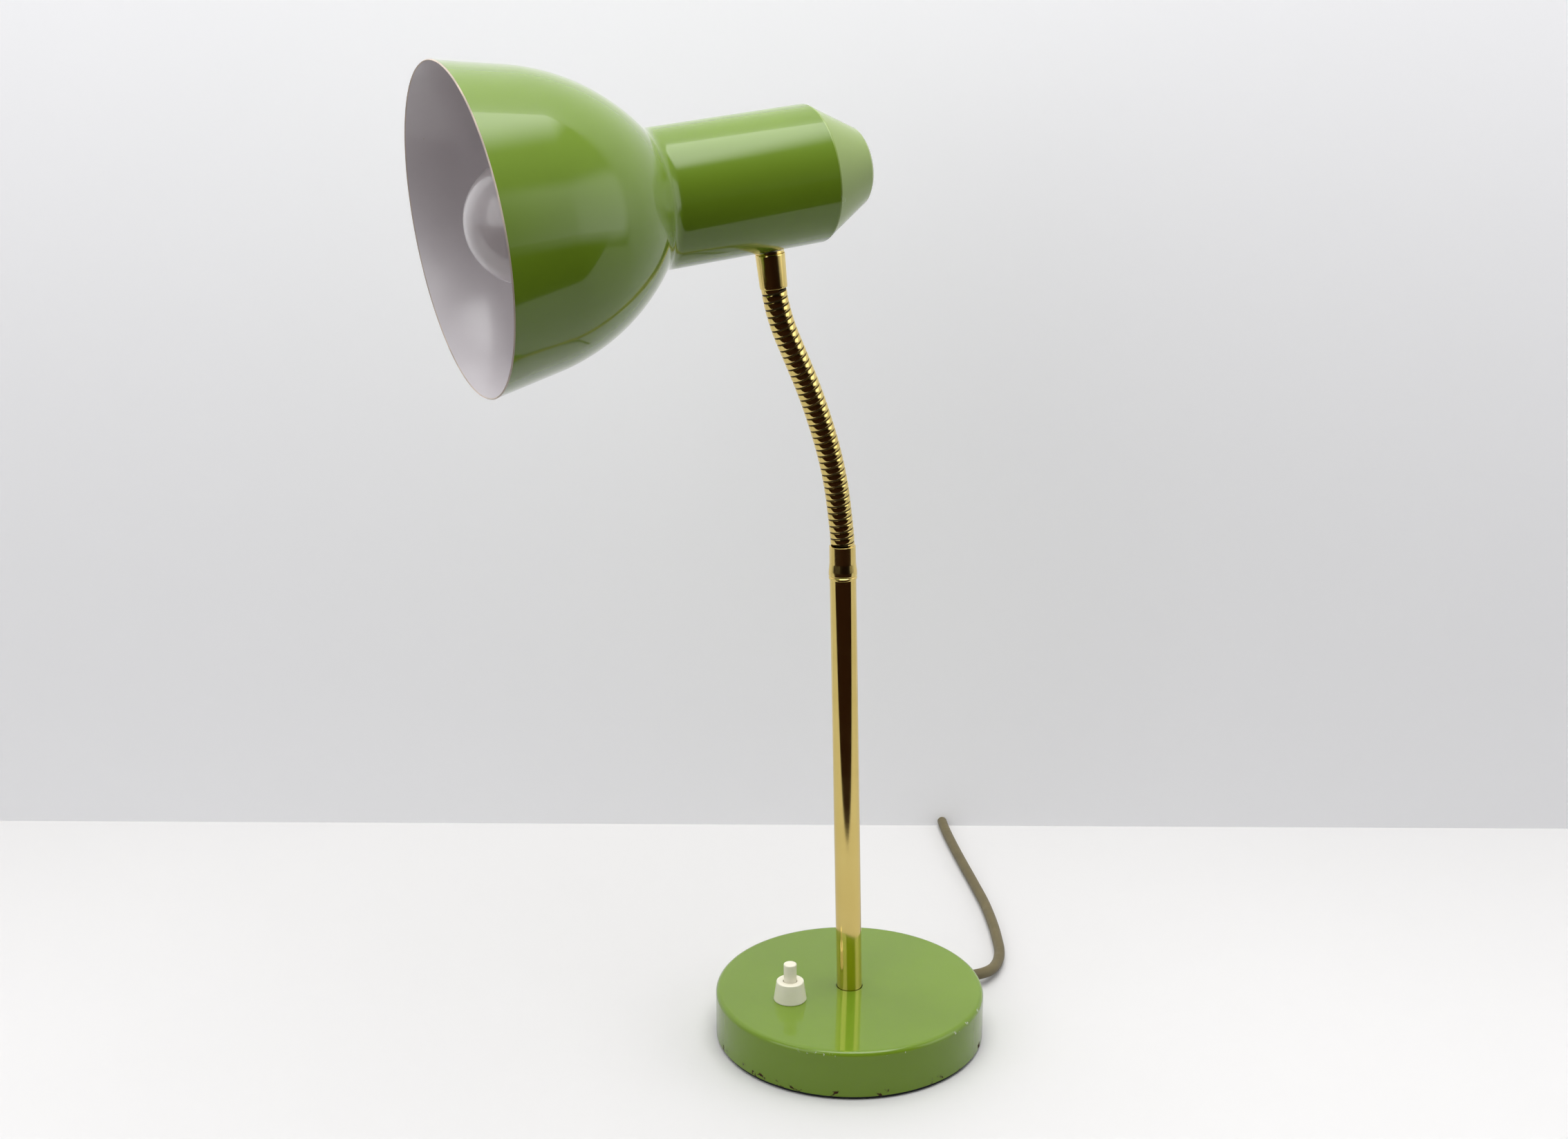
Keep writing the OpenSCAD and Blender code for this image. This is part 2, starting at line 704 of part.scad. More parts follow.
// Glass foot, two supports and the wire between them
module bulb_filament() {
    color(steel) on_head() union() {
        translate([0, 0, bulb_neck_s + 2]) cylinder(r1 = 8, r2 = 3, h = 12, $fn = medium);
        translate([0, 0, bulb_neck_s + 13]) cylinder(r = 3, h = 12, $fn = medium);
        for (x = [-2, 2]) hull() {
            translate([x, 0, bulb_neck_s + 22]) sphere(r = 0.4, $fn = 12);
            translate([5 * x, 0, bulb_reach]) sphere(r = 0.4, $fn = 12);
        }
        translate([-10, 0, bulb_reach]) rotate([0, 90, 0]) cylinder(r = 0.5, h = 20, $fn = 16);
    }
}

base_cover();
base_weight();
base_pad();
stem_tube();
stem_washer();
stem_nut();
stem_lead();
lower_collar();
switch_body();
switch_collar();
switch_spring();
switch_button();
terminal_block();
terminal_screws();
cord_bush();
lead_inside();
cord_clamp();
clamp_screws();
cord_lead();
cord_coil();
cord_tail();
cord_tie();
plug_body();
plug_pins();
neck_link(0);  // neck_link_1
neck_link(1);  // neck_link_2
neck_link(2);  // neck_link_3
neck_link(3);  // neck_link_4
neck_link(4);  // neck_link_5
neck_link(5);  // neck_link_6
neck_link(6);  // neck_link_7
neck_link(7);  // neck_link_8
upper_ferrule();
head_nipple();
head_nut();
saddle_washer();
shade();
rear_cap();
socket_carrier();
socket_tube();
socket_nuts();
socket_body();
socket_thread();
socket_contact();
socket_screws();
bulb_glass();
bulb_cap();
bulb_tip();
bulb_filament();
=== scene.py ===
"""Gooseneck desk lamp: enamelled base and shade, brass stem and neck, and a mains lead put away in a coil.

Everything is in metres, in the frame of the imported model: +Z up, the shade looks towards -Y.
"""

import json
import math

import bmesh
import bpy
from mathutils import Matrix, Vector


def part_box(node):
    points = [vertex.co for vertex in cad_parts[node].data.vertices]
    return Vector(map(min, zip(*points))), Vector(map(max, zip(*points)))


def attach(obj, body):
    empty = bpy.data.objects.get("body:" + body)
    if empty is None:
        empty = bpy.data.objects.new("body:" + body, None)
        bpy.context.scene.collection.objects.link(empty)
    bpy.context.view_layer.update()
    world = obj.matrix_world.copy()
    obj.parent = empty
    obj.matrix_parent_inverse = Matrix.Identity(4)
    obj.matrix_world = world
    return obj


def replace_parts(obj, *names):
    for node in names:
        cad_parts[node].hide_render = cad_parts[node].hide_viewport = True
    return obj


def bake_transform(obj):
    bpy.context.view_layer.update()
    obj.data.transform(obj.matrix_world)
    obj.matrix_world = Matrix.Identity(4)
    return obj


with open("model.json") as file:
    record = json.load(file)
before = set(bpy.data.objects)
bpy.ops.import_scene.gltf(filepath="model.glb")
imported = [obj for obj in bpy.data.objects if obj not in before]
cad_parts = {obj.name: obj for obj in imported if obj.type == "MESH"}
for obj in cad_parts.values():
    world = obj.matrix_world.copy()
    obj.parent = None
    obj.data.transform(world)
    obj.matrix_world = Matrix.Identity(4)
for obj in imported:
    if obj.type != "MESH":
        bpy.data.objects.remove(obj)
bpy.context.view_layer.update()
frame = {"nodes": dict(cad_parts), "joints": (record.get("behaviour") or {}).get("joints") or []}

MM = 0.001
ROUND = 192  # steps round a large turned piece
MIDDLE_ROUND = 96
SMALL_ROUND = 64
X, Y, Z = Vector((1, 0, 0)), Vector((0, 1, 0)), Vector((0, 0, 1))


# ---------------------------------------------------------------- places, read from the frame

def place(origin, x, y, z):
    """A frame with its origin and three axes as a matrix."""
    rotation = Matrix((x, y, z)).transposed().to_4x4()
    return Matrix.Translation(origin) @ rotation


def span(node, where):
    """Lowest and highest corner of a CAD node, measured along the axes of a place."""
    back = where.inverted()
    points = [back @ v.co for v in frame["nodes"][node].data.vertices]
    low = Vector([min(p[i] for p in points) for i in range(3)])
    high = Vector([max(p[i] for p in points) for i in range(3)])
    return low, high


joints = {j["name"]: j for j in frame["joints"]}
hinges = sorted((Vector(j["pos_m"]) for n, j in joints.items() if n.startswith("neck_")), key=lambda p: p.z)

base_low, base_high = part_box("base_cover")
base_r = base_high.x
base_top = base_high.z
stem_foot = Vector((0, 0, base_top))
stem_up = (hinges[0] - stem_foot).normalized()
head_up = Vector(joints["head_swivel"]["axis"]).normalized()
head_ahead = X.cross(head_up)

AT_ROW = Matrix.Identity(4)
AT_STEM = place(stem_foot, X, stem_up.cross(X), stem_up)
AT_FERRULE = place(hinges[-1], X, head_up.cross(X), head_up)
AT_HEAD = place(Vector(joints["head_swivel"]["pos_m"]), X, head_up, head_ahead)

switch_low, switch_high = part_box("switch_collar")
switch_middle = (switch_low + switch_high) / 2
AT_SWITCH = Matrix.Translation((switch_middle.x, switch_middle.y, base_top))

EXIT_TURN = math.radians(8)
EXIT_HEIGHT = 8 * MM
exit_ahead = Vector((-math.sin(EXIT_TURN), math.cos(EXIT_TURN), 0))
AT_EXIT = place(Vector((0, 0, EXIT_HEIGHT)), exit_ahead.cross(Z), Z, exit_ahead)
bush_out = span("cord_bush", AT_EXIT)[1].z


# ---------------------------------------------------------------- camera

def make_camera():
    """A camera at lamp height, to the lamp's left front, looking slightly down."""
    azimuth, turn, pitch = math.radians(62.48), math.radians(2.14), math.radians(15.65)
    distance, height = 0.9197, 0.5102
    data = bpy.data.cameras.new("camera")
    data.lens = 44.4
    data.sensor_width = 36
    data.clip_start = 0.02
    data.clip_end = 50
    camera = bpy.data.objects.new("camera", data)
    bpy.context.scene.collection.objects.link(camera)
    look = azimuth + turn
    ahead = Vector((-math.sin(look) * math.cos(pitch), math.cos(look) * math.cos(pitch), -math.sin(pitch)))
    camera.location = (distance * math.sin(azimuth), -distance * math.cos(azimuth), height)
    camera.rotation_mode = "QUATERNION"
    camera.rotation_quaternion = ahead.to_track_quat("-Z", "Y")
    bpy.context.scene.camera = camera


make_camera()


# ---------------------------------------------------------------- node groups shared by the finishes

def new_group(name, inputs, outputs):
    """An empty shader group with named float, colour or vector sockets."""
    group = bpy.data.node_groups.new(name, "ShaderNodeTree")
    for label, kind, value in inputs:
        socket = group.interface.new_socket(label, in_out="INPUT", socket_type=f"NodeSocket{kind}")
        if value is not None:
            socket.default_value = value
    for label, kind in outputs:
        group.interface.new_socket(label, in_out="OUTPUT", socket_type=f"NodeSocket{kind}")
    nodes = group.nodes
    return group, nodes.new("NodeGroupInput"), nodes.new("NodeGroupOutput")


def add(tree, kind, settings=(), **values):
    """A node with its settings and its sockets' values; a socket as a value makes a link."""
    node = tree.nodes.new(kind)
    for key, value in dict(settings).items():
        setattr(node, key, value)
    for key, value in values.items():
        socket = node.inputs[int(key[1:])] if key[0] == "i" and key[1:].isdigit() else node.inputs[key]
        if isinstance(value, bpy.types.NodeSocket):
            tree.links.new(value, socket)
        else:
            socket.default_value = value
    return node


def maths(tree, operation, a, b=0.0, clamp=False):
    return add(tree, "ShaderNodeMath", {"operation": operation, "use_clamp": clamp}, i0=a, i1=b).outputs[0]


def blended(tree, mask, a, b):
    """Colour a where the mask is 0 and b where it is 1."""
    node = tree.nodes.new("ShaderNodeMix")
    node.data_type = "RGBA"
    for socket, value in ((node.inputs[0], mask), (node.inputs[6], a), (node.inputs[7], b)):
        if isinstance(value, bpy.types.NodeSocket):
            tree.links.new(value, socket)
        else:
            socket.default_value = value if isinstance(value, float) else (*value, 1)
    return node.outputs[2]


def make_speckle():
    """Soft-edged spots: Share is how much of the surface they cover, from 0 to 1."""
    inputs = [("Scale", "Float", 300.0), ("Share", "Float", 0.1), ("Detail", "Float", 3.0)]
    group, given, out = new_group("speckle", inputs, [("Mask", "Float")])
    where = add(group, "ShaderNodeTexCoord").outputs["Object"]
    cloud = add(group, "ShaderNodeTexNoise", Vector=where, Scale=given.outputs["Scale"],
                Detail=given.outputs["Detail"], Roughness=0.6).outputs["Fac"]
    edge = maths(group, "SUBTRACT", 0.78, maths(group, "MULTIPLY", given.outputs["Share"], 0.5))
    mask = add(group, "ShaderNodeMapRange", {"interpolation_type": "SMOOTHSTEP"}, Value=cloud)
    group.links.new(edge, mask.inputs["From Min"])
    group.links.new(maths(group, "ADD", edge, 0.03), mask.inputs["From Max"])
    group.links.new(mask.outputs[0], out.inputs["Mask"])
    return group


def make_band():
    """1 between two heights of the object's own Z, fading over Soft."""
    inputs = [("Low", "Float", 0.0), ("High", "Float", 0.01), ("Soft", "Float", 0.001)]
    group, given, out = new_group("height_band", inputs, [("Mask", "Float")])
    where = add(group, "ShaderNodeTexCoord").outputs["Object"]
    height = add(group, "ShaderNodeSeparateXYZ", Vector=where).outputs["Z"]
    soft = given.outputs["Soft"]
    rise = maths(group, "DIVIDE", maths(group, "SUBTRACT", height, given.outputs["Low"]), soft, True)
    fall = maths(group, "DIVIDE", maths(group, "SUBTRACT", given.outputs["High"], height), soft, True)
    group.links.new(maths(group, "MULTIPLY", rise, fall), out.inputs["Mask"])
    return group


def make_skin():
    """Fine unevenness of a coat or a moulding as a normal, with a second, larger wave."""
    group, given, out = new_group(
        "fine_skin", [("Scale", "Float", 900.0), ("Strength", "Float", 0.1), ("Depth", "Float", 0.0001)],
        [("Normal", "Vector"), ("Height", "Float")])
    where = add(group, "ShaderNodeTexCoord").outputs["Object"]
    small = add(group, "ShaderNodeTexNoise", Vector=where, Scale=given.outputs["Scale"],
                Detail=2.0).outputs["Fac"]
    large = add(group, "ShaderNodeTexNoise", Vector=where,
                Scale=maths(group, "MULTIPLY", given.outputs["Scale"], 0.13), Detail=1.0).outputs["Fac"]
    height = maths(group, "ADD", small, maths(group, "MULTIPLY", large, 2.0))
    bump = add(group, "ShaderNodeBump", Height=height, Strength=given.outputs["Strength"],
               Distance=given.outputs["Depth"])
    group.links.new(bump.outputs[0], out.inputs["Normal"])
    group.links.new(height, out.inputs["Height"])
    return group


def make_scratches():
    """Thin straight marks in two directions, broken up by a cloud."""
    group, given, out = new_group(
        "scratches", [("Scale", "Float", 60.0), ("Share", "Float", 0.3)], [("Mask", "Float")])
    where = add(group, "ShaderNodeTexCoord").outputs["Object"]
    total = None
    for turn in ((0.4, 1.1, 0.2), (1.3, 0.3, 0.9)):
        turned = add(group, "ShaderNodeMapping", Vector=where, Rotation=turn, Scale=(1, 14, 1))
        lines = add(group, "ShaderNodeTexNoise", Vector=turned.outputs[0], Scale=given.outputs["Scale"],
                    Detail=2.0)
        thin = maths(group, "COMPARE", lines.outputs["Fac"], 0.5)
        thin.node.inputs[2].default_value = 0.006
        total = thin if total is None else maths(group, "MAXIMUM", total, thin)
    cloud = add(group, "ShaderNodeTexNoise", Vector=where, Scale=45.0, Detail=2.0).outputs["Fac"]
    reach = maths(group, "ADD", 0.3, maths(group, "MULTIPLY", given.outputs["Share"], 0.4))
    patch = maths(group, "LESS_THAN", cloud, reach)
    group.links.new(maths(group, "MULTIPLY", total, patch), out.inputs["Mask"])
    return group


def make_mottle():
    """A slow change of shade over a surface, from 0 to 1."""
    group, given, out = new_group("mottle", [("Scale", "Float", 20.0)], [("Value", "Float")])
    where = add(group, "ShaderNodeTexCoord").outputs["Object"]
    cloud = add(group, "ShaderNodeTexNoise", Vector=where, Scale=given.outputs["Scale"],
                Detail=4.0).outputs["Fac"]
    wide = add(group, "ShaderNodeMapRange", Value=cloud, i1=0.3, i2=0.7)
    group.links.new(wide.outputs[0], out.inputs["Value"])
    return group


SPECKLE, BAND, SKIN = make_speckle(), make_band(), make_skin()
SCRATCHES, MOTTLE = make_scratches(), make_mottle()


def use(tree, group, output, **values):
    """One output of a shared group, placed with its own values."""
    node = tree.nodes.new("ShaderNodeGroup")
    node.node_tree = group
    for key, value in values.items():
        node.inputs[key].default_value = value
    return node.outputs[output]


# ---------------------------------------------------------------- finishes

def finish_of(name, **sockets):
    """A material with one Principled shader, and its tree."""
    material = bpy.data.materials.new(name)
    material.use_nodes = True
    tree = material.node_tree
    tree.nodes.clear()
    out = tree.nodes.new("ShaderNodeOutputMaterial")
    shader = add(tree, "ShaderNodeBsdfPrincipled")
    tree.links.new(shader.outputs[0], out.inputs["Surface"])
    for key, value in sockets.items():
        shader.inputs[key.replace("_", " ")].default_value = value
    return material, tree, shader


def wire(tree, shader, **sockets):
    for key, socket in sockets.items():
        tree.links.new(socket, shader.inputs[key.replace("_", " ")])


GREEN = (0.158, 0.262, 0.015)
GREEN_PALE = (0.270, 0.380, 0.080)
RUST = (0.045, 0.016, 0.008)
BARE_AND_GLINT = (0.62, 0.64, 0.55)
SCRATCHED = (0.62, 0.70, 0.50)
WORN_AND_GLINT_FROM_X = 0.045  # the top edge shows bare metal on the side of the base that faces +X: partly real wear, partly a painted highlight


def green_enamel(name, chips=(), worn_and_glint=(), marks=0.0, roughness=0.2, pale=False):
    """Stove enamel; chips and worn are bands of height: chips show rust, worn shows bare metal, partly real
    wear and partly a painted highlight on the side facing +X.
    """
    material, tree, shader = finish_of(
        name, Roughness=roughness, Specular_IOR_Level=0.12, Coat_Weight=1.0, Coat_Roughness=0.035,
        Coat_IOR=1.45)
    top = GREEN_PALE if pale else GREEN
    shade_of = use(tree, MOTTLE, "Value", Scale=14.0)
    colour = blended(tree, shade_of, tuple(c * 0.94 for c in top), tuple(c * 1.05 for c in top))
    uneven = maths(tree, "MULTIPLY", use(tree, MOTTLE, "Value", Scale=60.0), 0.06)
    rough = maths(tree, "ADD", uneven, roughness)
    coat = None
    # bare metal near the top edge, only on the +X side: real wear together with a painted highlight
    for low, high, scale, share in worn_and_glint:
        band = use(tree, BAND, "Mask", Low=low, High=high, Soft=0.0004)
        where = add(tree, "ShaderNodeTexCoord").outputs["Object"]
        across = add(tree, "ShaderNodeSeparateXYZ", Vector=where).outputs["X"]
        front = maths(tree, "MULTIPLY", maths(tree, "SUBTRACT", across, WORN_AND_GLINT_FROM_X), 80.0, True)
        band = maths(tree, "MULTIPLY", band, front)
        spots = use(tree, SPECKLE, "Mask", Scale=scale, Share=share, Detail=5.0)
        mask = maths(tree, "MULTIPLY", band, spots)
        colour = blended(tree, mask, colour, BARE_AND_GLINT)
        coat = mask if coat is None else maths(tree, "MAXIMUM", coat, mask)
    for low, high, scale, share in chips:
        band = use(tree, BAND, "Mask", Low=low, High=high, Soft=0.0012)
        spots = use(tree, SPECKLE, "Mask", Scale=scale, Share=share, Detail=6.0)
        mask = maths(tree, "MULTIPLY", band, spots)
        colour = blended(tree, mask, colour, RUST)
        rough = maths(tree, "MAXIMUM", rough, maths(tree, "MULTIPLY", mask, 0.8))
        coat = mask if coat is None else maths(tree, "MAXIMUM", coat, mask)
    if marks:
        lines = use(tree, SCRATCHES, "Mask", Scale=70.0, Share=marks)
        colour = blended(tree, maths(tree, "MULTIPLY", lines, 0.5), colour, SCRATCHED)
    if coat is not None:
        wire(tree, shader, Coat_Weight=maths(tree, "SUBTRACT", 1.0, coat, True))
    wire(tree, shader, Base_Color=colour, Roughness=rough,
         Normal=use(tree, SKIN, "Normal", Scale=420.0, Strength=0.05, Depth=0.0002))
    return material


def white_enamel():
    """The shade's lining, slightly dusty."""
    material, tree, shader = finish_of("white_enamel", Roughness=0.35, Coat_Weight=0.6, Coat_Roughness=0.15)
    dust = use(tree, MOTTLE, "Value", Scale=25.0)
    colour = blended(tree, dust, (0.66, 0.615, 0.635), (0.72, 0.675, 0.695))
    spots = use(tree, SPECKLE, "Mask", Scale=500.0, Share=0.02, Detail=2.0)
    wire(tree, shader, Base_Color=blended(tree, spots, colour, (0.55, 0.5, 0.42)),
         Normal=use(tree, SKIN, "Normal", Scale=500.0, Strength=0.06, Depth=0.0002))
    return material


def polished_brass(name, tarnish=0.05, roughness=0.07):
    """Polished brass under old lacquer, with dark spots of tarnish and faint fine scratches."""
    material, tree, shader = finish_of(
        name, Metallic=1.0, Roughness=roughness, Coat_Weight=0.25, Coat_Roughness=0.05)
    warm = use(tree, MOTTLE, "Value", Scale=35.0)
    colour = blended(tree, warm, (0.80, 0.615, 0.19), (0.86, 0.68, 0.235))
    spots = use(tree, SPECKLE, "Mask", Scale=380.0, Share=tarnish, Detail=6.0)
    colour = blended(tree, spots, colour, (0.10, 0.05, 0.015))
    lines = use(tree, SCRATCHES, "Mask", Scale=90.0, Share=0.25)
    colour = blended(tree, maths(tree, "MULTIPLY", lines, 0.12), colour, (0.5, 0.36, 0.12))
    uneven = maths(tree, "MULTIPLY", use(tree, MOTTLE, "Value", Scale=120.0), 0.05)
    rough = maths(tree, "ADD", uneven, roughness)
    rough = maths(tree, "MAXIMUM", rough, maths(tree, "MULTIPLY", spots, 0.5))
    wire(tree, shader, Base_Color=colour, Roughness=rough,
         Normal=use(tree, SKIN, "Normal", Scale=700.0, Strength=0.03, Depth=0.0001))
    return material


def moulded(name, colour, roughness=0.35, spread=0.06, coat=0.0, scale=900.0, depth=0.00015, strength=0.12):
    """Moulded plastic, rubber or ceramic: a colour that drifts a little, under a fine skin."""
    material, tree, shader = finish_of(
        name, Roughness=roughness, Coat_Weight=coat, Coat_Roughness=0.1)
    drift = use(tree, MOTTLE, "Value", Scale=70.0)
    low, high = (tuple(c * (1 + k * spread) for c in colour) for k in (-1, 1))
    uneven = maths(tree, "MULTIPLY", use(tree, MOTTLE, "Value", Scale=300.0), 0.1)
    rough = maths(tree, "ADD", uneven, roughness)
    wire(tree, shader, Base_Color=blended(tree, drift, low, high), Roughness=rough,
         Normal=use(tree, SKIN, "Normal", Scale=scale, Strength=strength, Depth=depth))
    return material


def plated_steel(name, colour, roughness=0.3, rust=0.03):
    """Plated or cast metal whose colour and gloss drift, with spots of rust."""
    material, tree, shader = finish_of(name, Metallic=1.0, Roughness=roughness)
    drift = use(tree, MOTTLE, "Value", Scale=90.0)
    spots = use(tree, SPECKLE, "Mask", Scale=420.0, Share=rust, Detail=5.0)
    body = blended(tree, drift, tuple(c * 0.88 for c in colour), colour)
    wire(tree, shader, Base_Color=blended(tree, spots, body, (0.16, 0.08, 0.04)),
         Roughness=maths(tree, "ADD", maths(tree, "MULTIPLY", drift, 0.15), roughness),
         Normal=use(tree, SKIN, "Normal", Scale=800.0, Strength=0.15, Depth=0.0001))
    return material


def pearl_glass():
    """Glass frosted on the inside: glossy, and lit through a little."""
    material, tree, shader = finish_of(
        "pearl_glass", Roughness=0.28, Coat_Weight=1.0, Coat_Roughness=0.02, Transmission_Weight=0.25,
        Subsurface_Weight=0.3, Subsurface_Scale=0.01)
    shader.inputs["Subsurface Radius"].default_value = (1.0, 0.8, 0.75)
    drift = use(tree, MOTTLE, "Value", Scale=30.0)
    wire(tree, shader, Base_Color=blended(tree, drift, (0.68, 0.595, 0.60), (0.76, 0.68, 0.675)),
         Normal=use(tree, SKIN, "Normal", Scale=300.0, Strength=0.02, Depth=0.0001))
    return material


FINISHES = {
    "base_green": green_enamel(
        "base_green",
        chips=[(0.0, 0.0055, 210.0, 0.36), (0.0, 0.016, 330.0, 0.14), (0.018, 0.0262, 420.0, 0.12)],
        worn_and_glint=[(0.0232, 0.0256, 300.0, 0.34)]),
    "shade_green": green_enamel("shade_green", roughness=0.16),
    "cap_green": green_enamel("cap_green", marks=0.25, roughness=0.36, pale=True),
    "white_enamel": white_enamel(),
    "worn_edge": moulded("worn_edge", (0.62, 0.52, 0.43), 0.45, 0.25, coat=0.3),
    "stem_brass": polished_brass("stem_brass", tarnish=0.1),
    "neck_brass": polished_brass("neck_brass", tarnish=0.03),
    "plain_brass": polished_brass("plain_brass", tarnish=0.04, roughness=0.12),
    # inner wire of the neck: dark steel, darkened further as painted shade in the gaps between the brass
    # bands
    "neck_core_painted_shade": plated_steel("neck_core_painted_shade", (0.09, 0.065, 0.035), 0.45, 0.02),
    "ivory": moulded("ivory", (0.90, 0.865, 0.70), 0.3, 0.03, coat=0.3),
    "olive_pvc": moulded("olive_pvc", (0.135, 0.108, 0.043), 0.42, 0.12, scale=600.0),
    "black_plastic": moulded("black_plastic", (0.02, 0.019, 0.018), 0.4, 0.1),
    "felt": moulded("felt", (0.012, 0.013, 0.016), 0.9, 0.2, scale=1500.0, strength=0.8, depth=0.0004),
    "bakelite": moulded("bakelite", (0.03, 0.017, 0.012), 0.3, 0.25, coat=0.4),
    "porcelain": moulded("porcelain", (0.78, 0.77, 0.72), 0.2, 0.02, coat=0.6),
    "zinc": plated_steel("zinc", (0.62, 0.62, 0.60)),
    "nickel": plated_steel("nickel", (0.70, 0.69, 0.66), 0.15, 0.0),
    "cast_iron": plated_steel("cast_iron", (0.20, 0.19, 0.18), 0.6, 0.25),
    "pearl_glass": pearl_glass(),
}


# ---------------------------------------------------------------- making pieces

def link_object(name, mesh, finishes, body):
    """Puts a finished mesh on its body, with its finishes."""
    piece = bpy.data.objects.new(name, mesh)
    bpy.context.scene.collection.objects.link(piece)
    for finish in finishes:
        mesh.materials.append(FINISHES[finish])
    if body:
        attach(piece, body)
    return piece


def mesh_of(bm, name, smooth_below=35):
    """The bmesh as a mesh, shaded smooth except across sharp edges."""
    mesh = bpy.data.meshes.new(name)
    bm.to_mesh(mesh)
    bm.free()
    mesh.shade_smooth()
    mesh.set_sharp_from_angle(angle=math.radians(smooth_below))
    return mesh


def held(points, reach=0.4 * MM):
    """The outline with extra points close to the ends of its long straights, so they shade as flat."""
    kept = [points[0]]
    for near, far in zip(points, points[1:]):
        way = far - near
        if way.length > 6 * reach:
            kept += [near + way.normalized() * reach, far - way.normalized() * reach]
        kept.append(far)
    return kept


def rounded(corners, steps=5):
    """An outline of (r, z, radius) corners with each corner turned into an arc."""
    points = []
    for i, (r, z, radius) in enumerate(corners):
        here = Vector((r, z))
        if radius <= 0 or i in (0, len(corners) - 1):
            points.append(here)
            continue
        before = Vector(corners[i - 1][:2]) - here
        after = Vector(corners[i + 1][:2]) - here
        bend = before.angle(after)
        reach = min(radius / math.tan(bend / 2), before.length * 0.49, after.length * 0.49)
        radius = reach * math.tan(bend / 2)
        start, end = here + before.normalized() * reach, here + after.normalized() * reach
        between = (before.normalized() + after.normalized()).normalized()
        middle = here + between * (radius / math.sin(bend / 2))
        a, b = start - middle, end - middle
        for k in range(steps + 1):
            points.append(middle + a.slerp(b, k / steps, a) * a.length if a.length > 1e-9 else here)
    return held(points)


def arc(middle, radius, start, end, steps):
    """Points on an arc; angles in degrees from the +r side towards +z."""
    turn = [math.radians(start + (end - start) * k / steps) for k in range(steps + 1)]
    return [Vector((middle[0] + radius * math.cos(a), middle[1] + radius * math.sin(a))) for a in turn]


def spun(outline, where, steps=ROUND, closed=False, finish_from=()):
    """A bmesh turned from an outline of (r, z) points about the Z axis of a place.

    finish_from lists (index of outline edge, material index) where the finish changes."""
    bm = bmesh.new()
    layer = bm.verts.layers.int.new("row")
    verts = [bm.verts.new((p[0], 0, p[1])) for p in outline]
    pairs = list(zip(verts, verts[1:])) + ([(verts[-1], verts[0])] if closed else [])
    edges = [bm.edges.new(pair) for pair in pairs]
    for i, vert in enumerate(verts):
        vert[layer] = i
    bmesh.ops.spin(bm, geom=verts + edges, cent=(0, 0, 0), axis=(0, 0, 1), angle=2 * math.pi, steps=steps,
                   use_merge=True)
    changes = sorted(finish_from)
    last = len(outline) - 1
    for face in bm.faces:
        rows = {v[layer] for v in face.verts}
        row = last if rows == {0, last} else min(rows)
        for start, finish in changes:
            if row >= start:
                face.material_index = finish
    bmesh.ops.remove_doubles(bm, verts=bm.verts, dist=1e-7)
    bmesh.ops.dissolve_degenerate(bm, edges=bm.edges, dist=1e-8)
    bmesh.ops.recalc_face_normals(bm, faces=bm.faces)
    bmesh.ops.transform(bm, matrix=where, verts=bm.verts)
    return bm


def turned_piece(name, outline, where, finishes, body, steps=ROUND, closed=False, finish_from=(),
                 replaces=()):
    """A piece turned about a place, put on its body; replaces names the CAD nodes that it stands for."""
    bm = spun(outline, where, steps, closed, finish_from)
    piece = link_object(name, mesh_of(bm, name), finishes, body)
    if replaces:
        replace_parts(piece, *replaces)
    return piece


def drill(piece, cutters):
    """Cuts holes through a piece: each cutter is (place, radius, length)."""
    bm = bmesh.new()
    for where, radius, length in cutters:
        bmesh.ops.create_cone(bm, cap_ends=True, segments=SMALL_ROUND, radius1=radius, radius2=radius,
                              depth=length, matrix=where)
    mesh = bpy.data.meshes.new("cutter")
    bm.to_mesh(mesh)
    bm.free()
    cutter = bpy.data.objects.new("cutter", mesh)
    bpy.context.scene.collection.objects.link(cutter)
    change = piece.modifiers.new("holes", "BOOLEAN")
    change.object = cutter
    change.solver = "EXACT"
    finished = bpy.data.meshes.new_from_object(piece.evaluated_get(bpy.context.evaluated_depsgraph_get()))
    finished.name = piece.name
    piece.modifiers.clear()
    piece.data = finished
    finished.set_sharp_from_angle(angle=math.radians(35))
    bpy.data.objects.remove(cutter)
    return piece


# ---------------------------------------------------------------- the mains lead

CORD_D = 6 * MM
coil_low, coil_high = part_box("cord_coil")
coil_middle = (coil_low + coil_high) / 2

LEAD_ROUTE = [
    (-13.5, 90, 6.6), (-18.5, 99, 4.8), (-27, 108, 3.5), (-38, 116, 3), (-52, 123, 3), (-70, 131, 3),
    (-96, 141, 3), (-124, 150, 3), (-153, 159, 3), (-181, 168, 3), (-207, 177, 3), (-232, 187, 3),
    (-253, 195, 3.3)]
TAIL_ROUTE = [(-330.5, 136, 9.2), (-327.5, 125, 8.2), (-324.5, 114, 7.3), (-322, 104.5, 7)]
PLUG_AT = Vector(TAIL_ROUTE[-1]) * MM
PLUG_TURN = math.radians(195)
COIL_TURNS = 6.35
COIL_START = math.radians(68.2)


def coil_radius(t):
    """Distance from the coil's middle after t turns: in over three turns, then out again on top."""
    if t < 3:
        return (43 - 6 * t) * MM
    return (25 + 8 * (t - 3) if t < 4 else 33 + 5.6 * (t - 4)) * MM


def coil_height(t):
    climb = min(max((t - 2.6) / 0.4, 0), 1)
    return (3.6 + 6.1 * climb * climb * (3 - 2 * climb)) * MM


def coil_points(steps_per_turn=48):
    points = []
    for k in range(int(COIL_TURNS * steps_per_turn) + 1):
        t = k / steps_per_turn
        a = COIL_START + 2 * math.pi * t
        r = coil_radius(t)
        x, y = coil_middle.x + r * math.cos(a), coil_middle.y + r * math.sin(a)
        points.append(Vector((x, y, coil_height(t))))
    return points


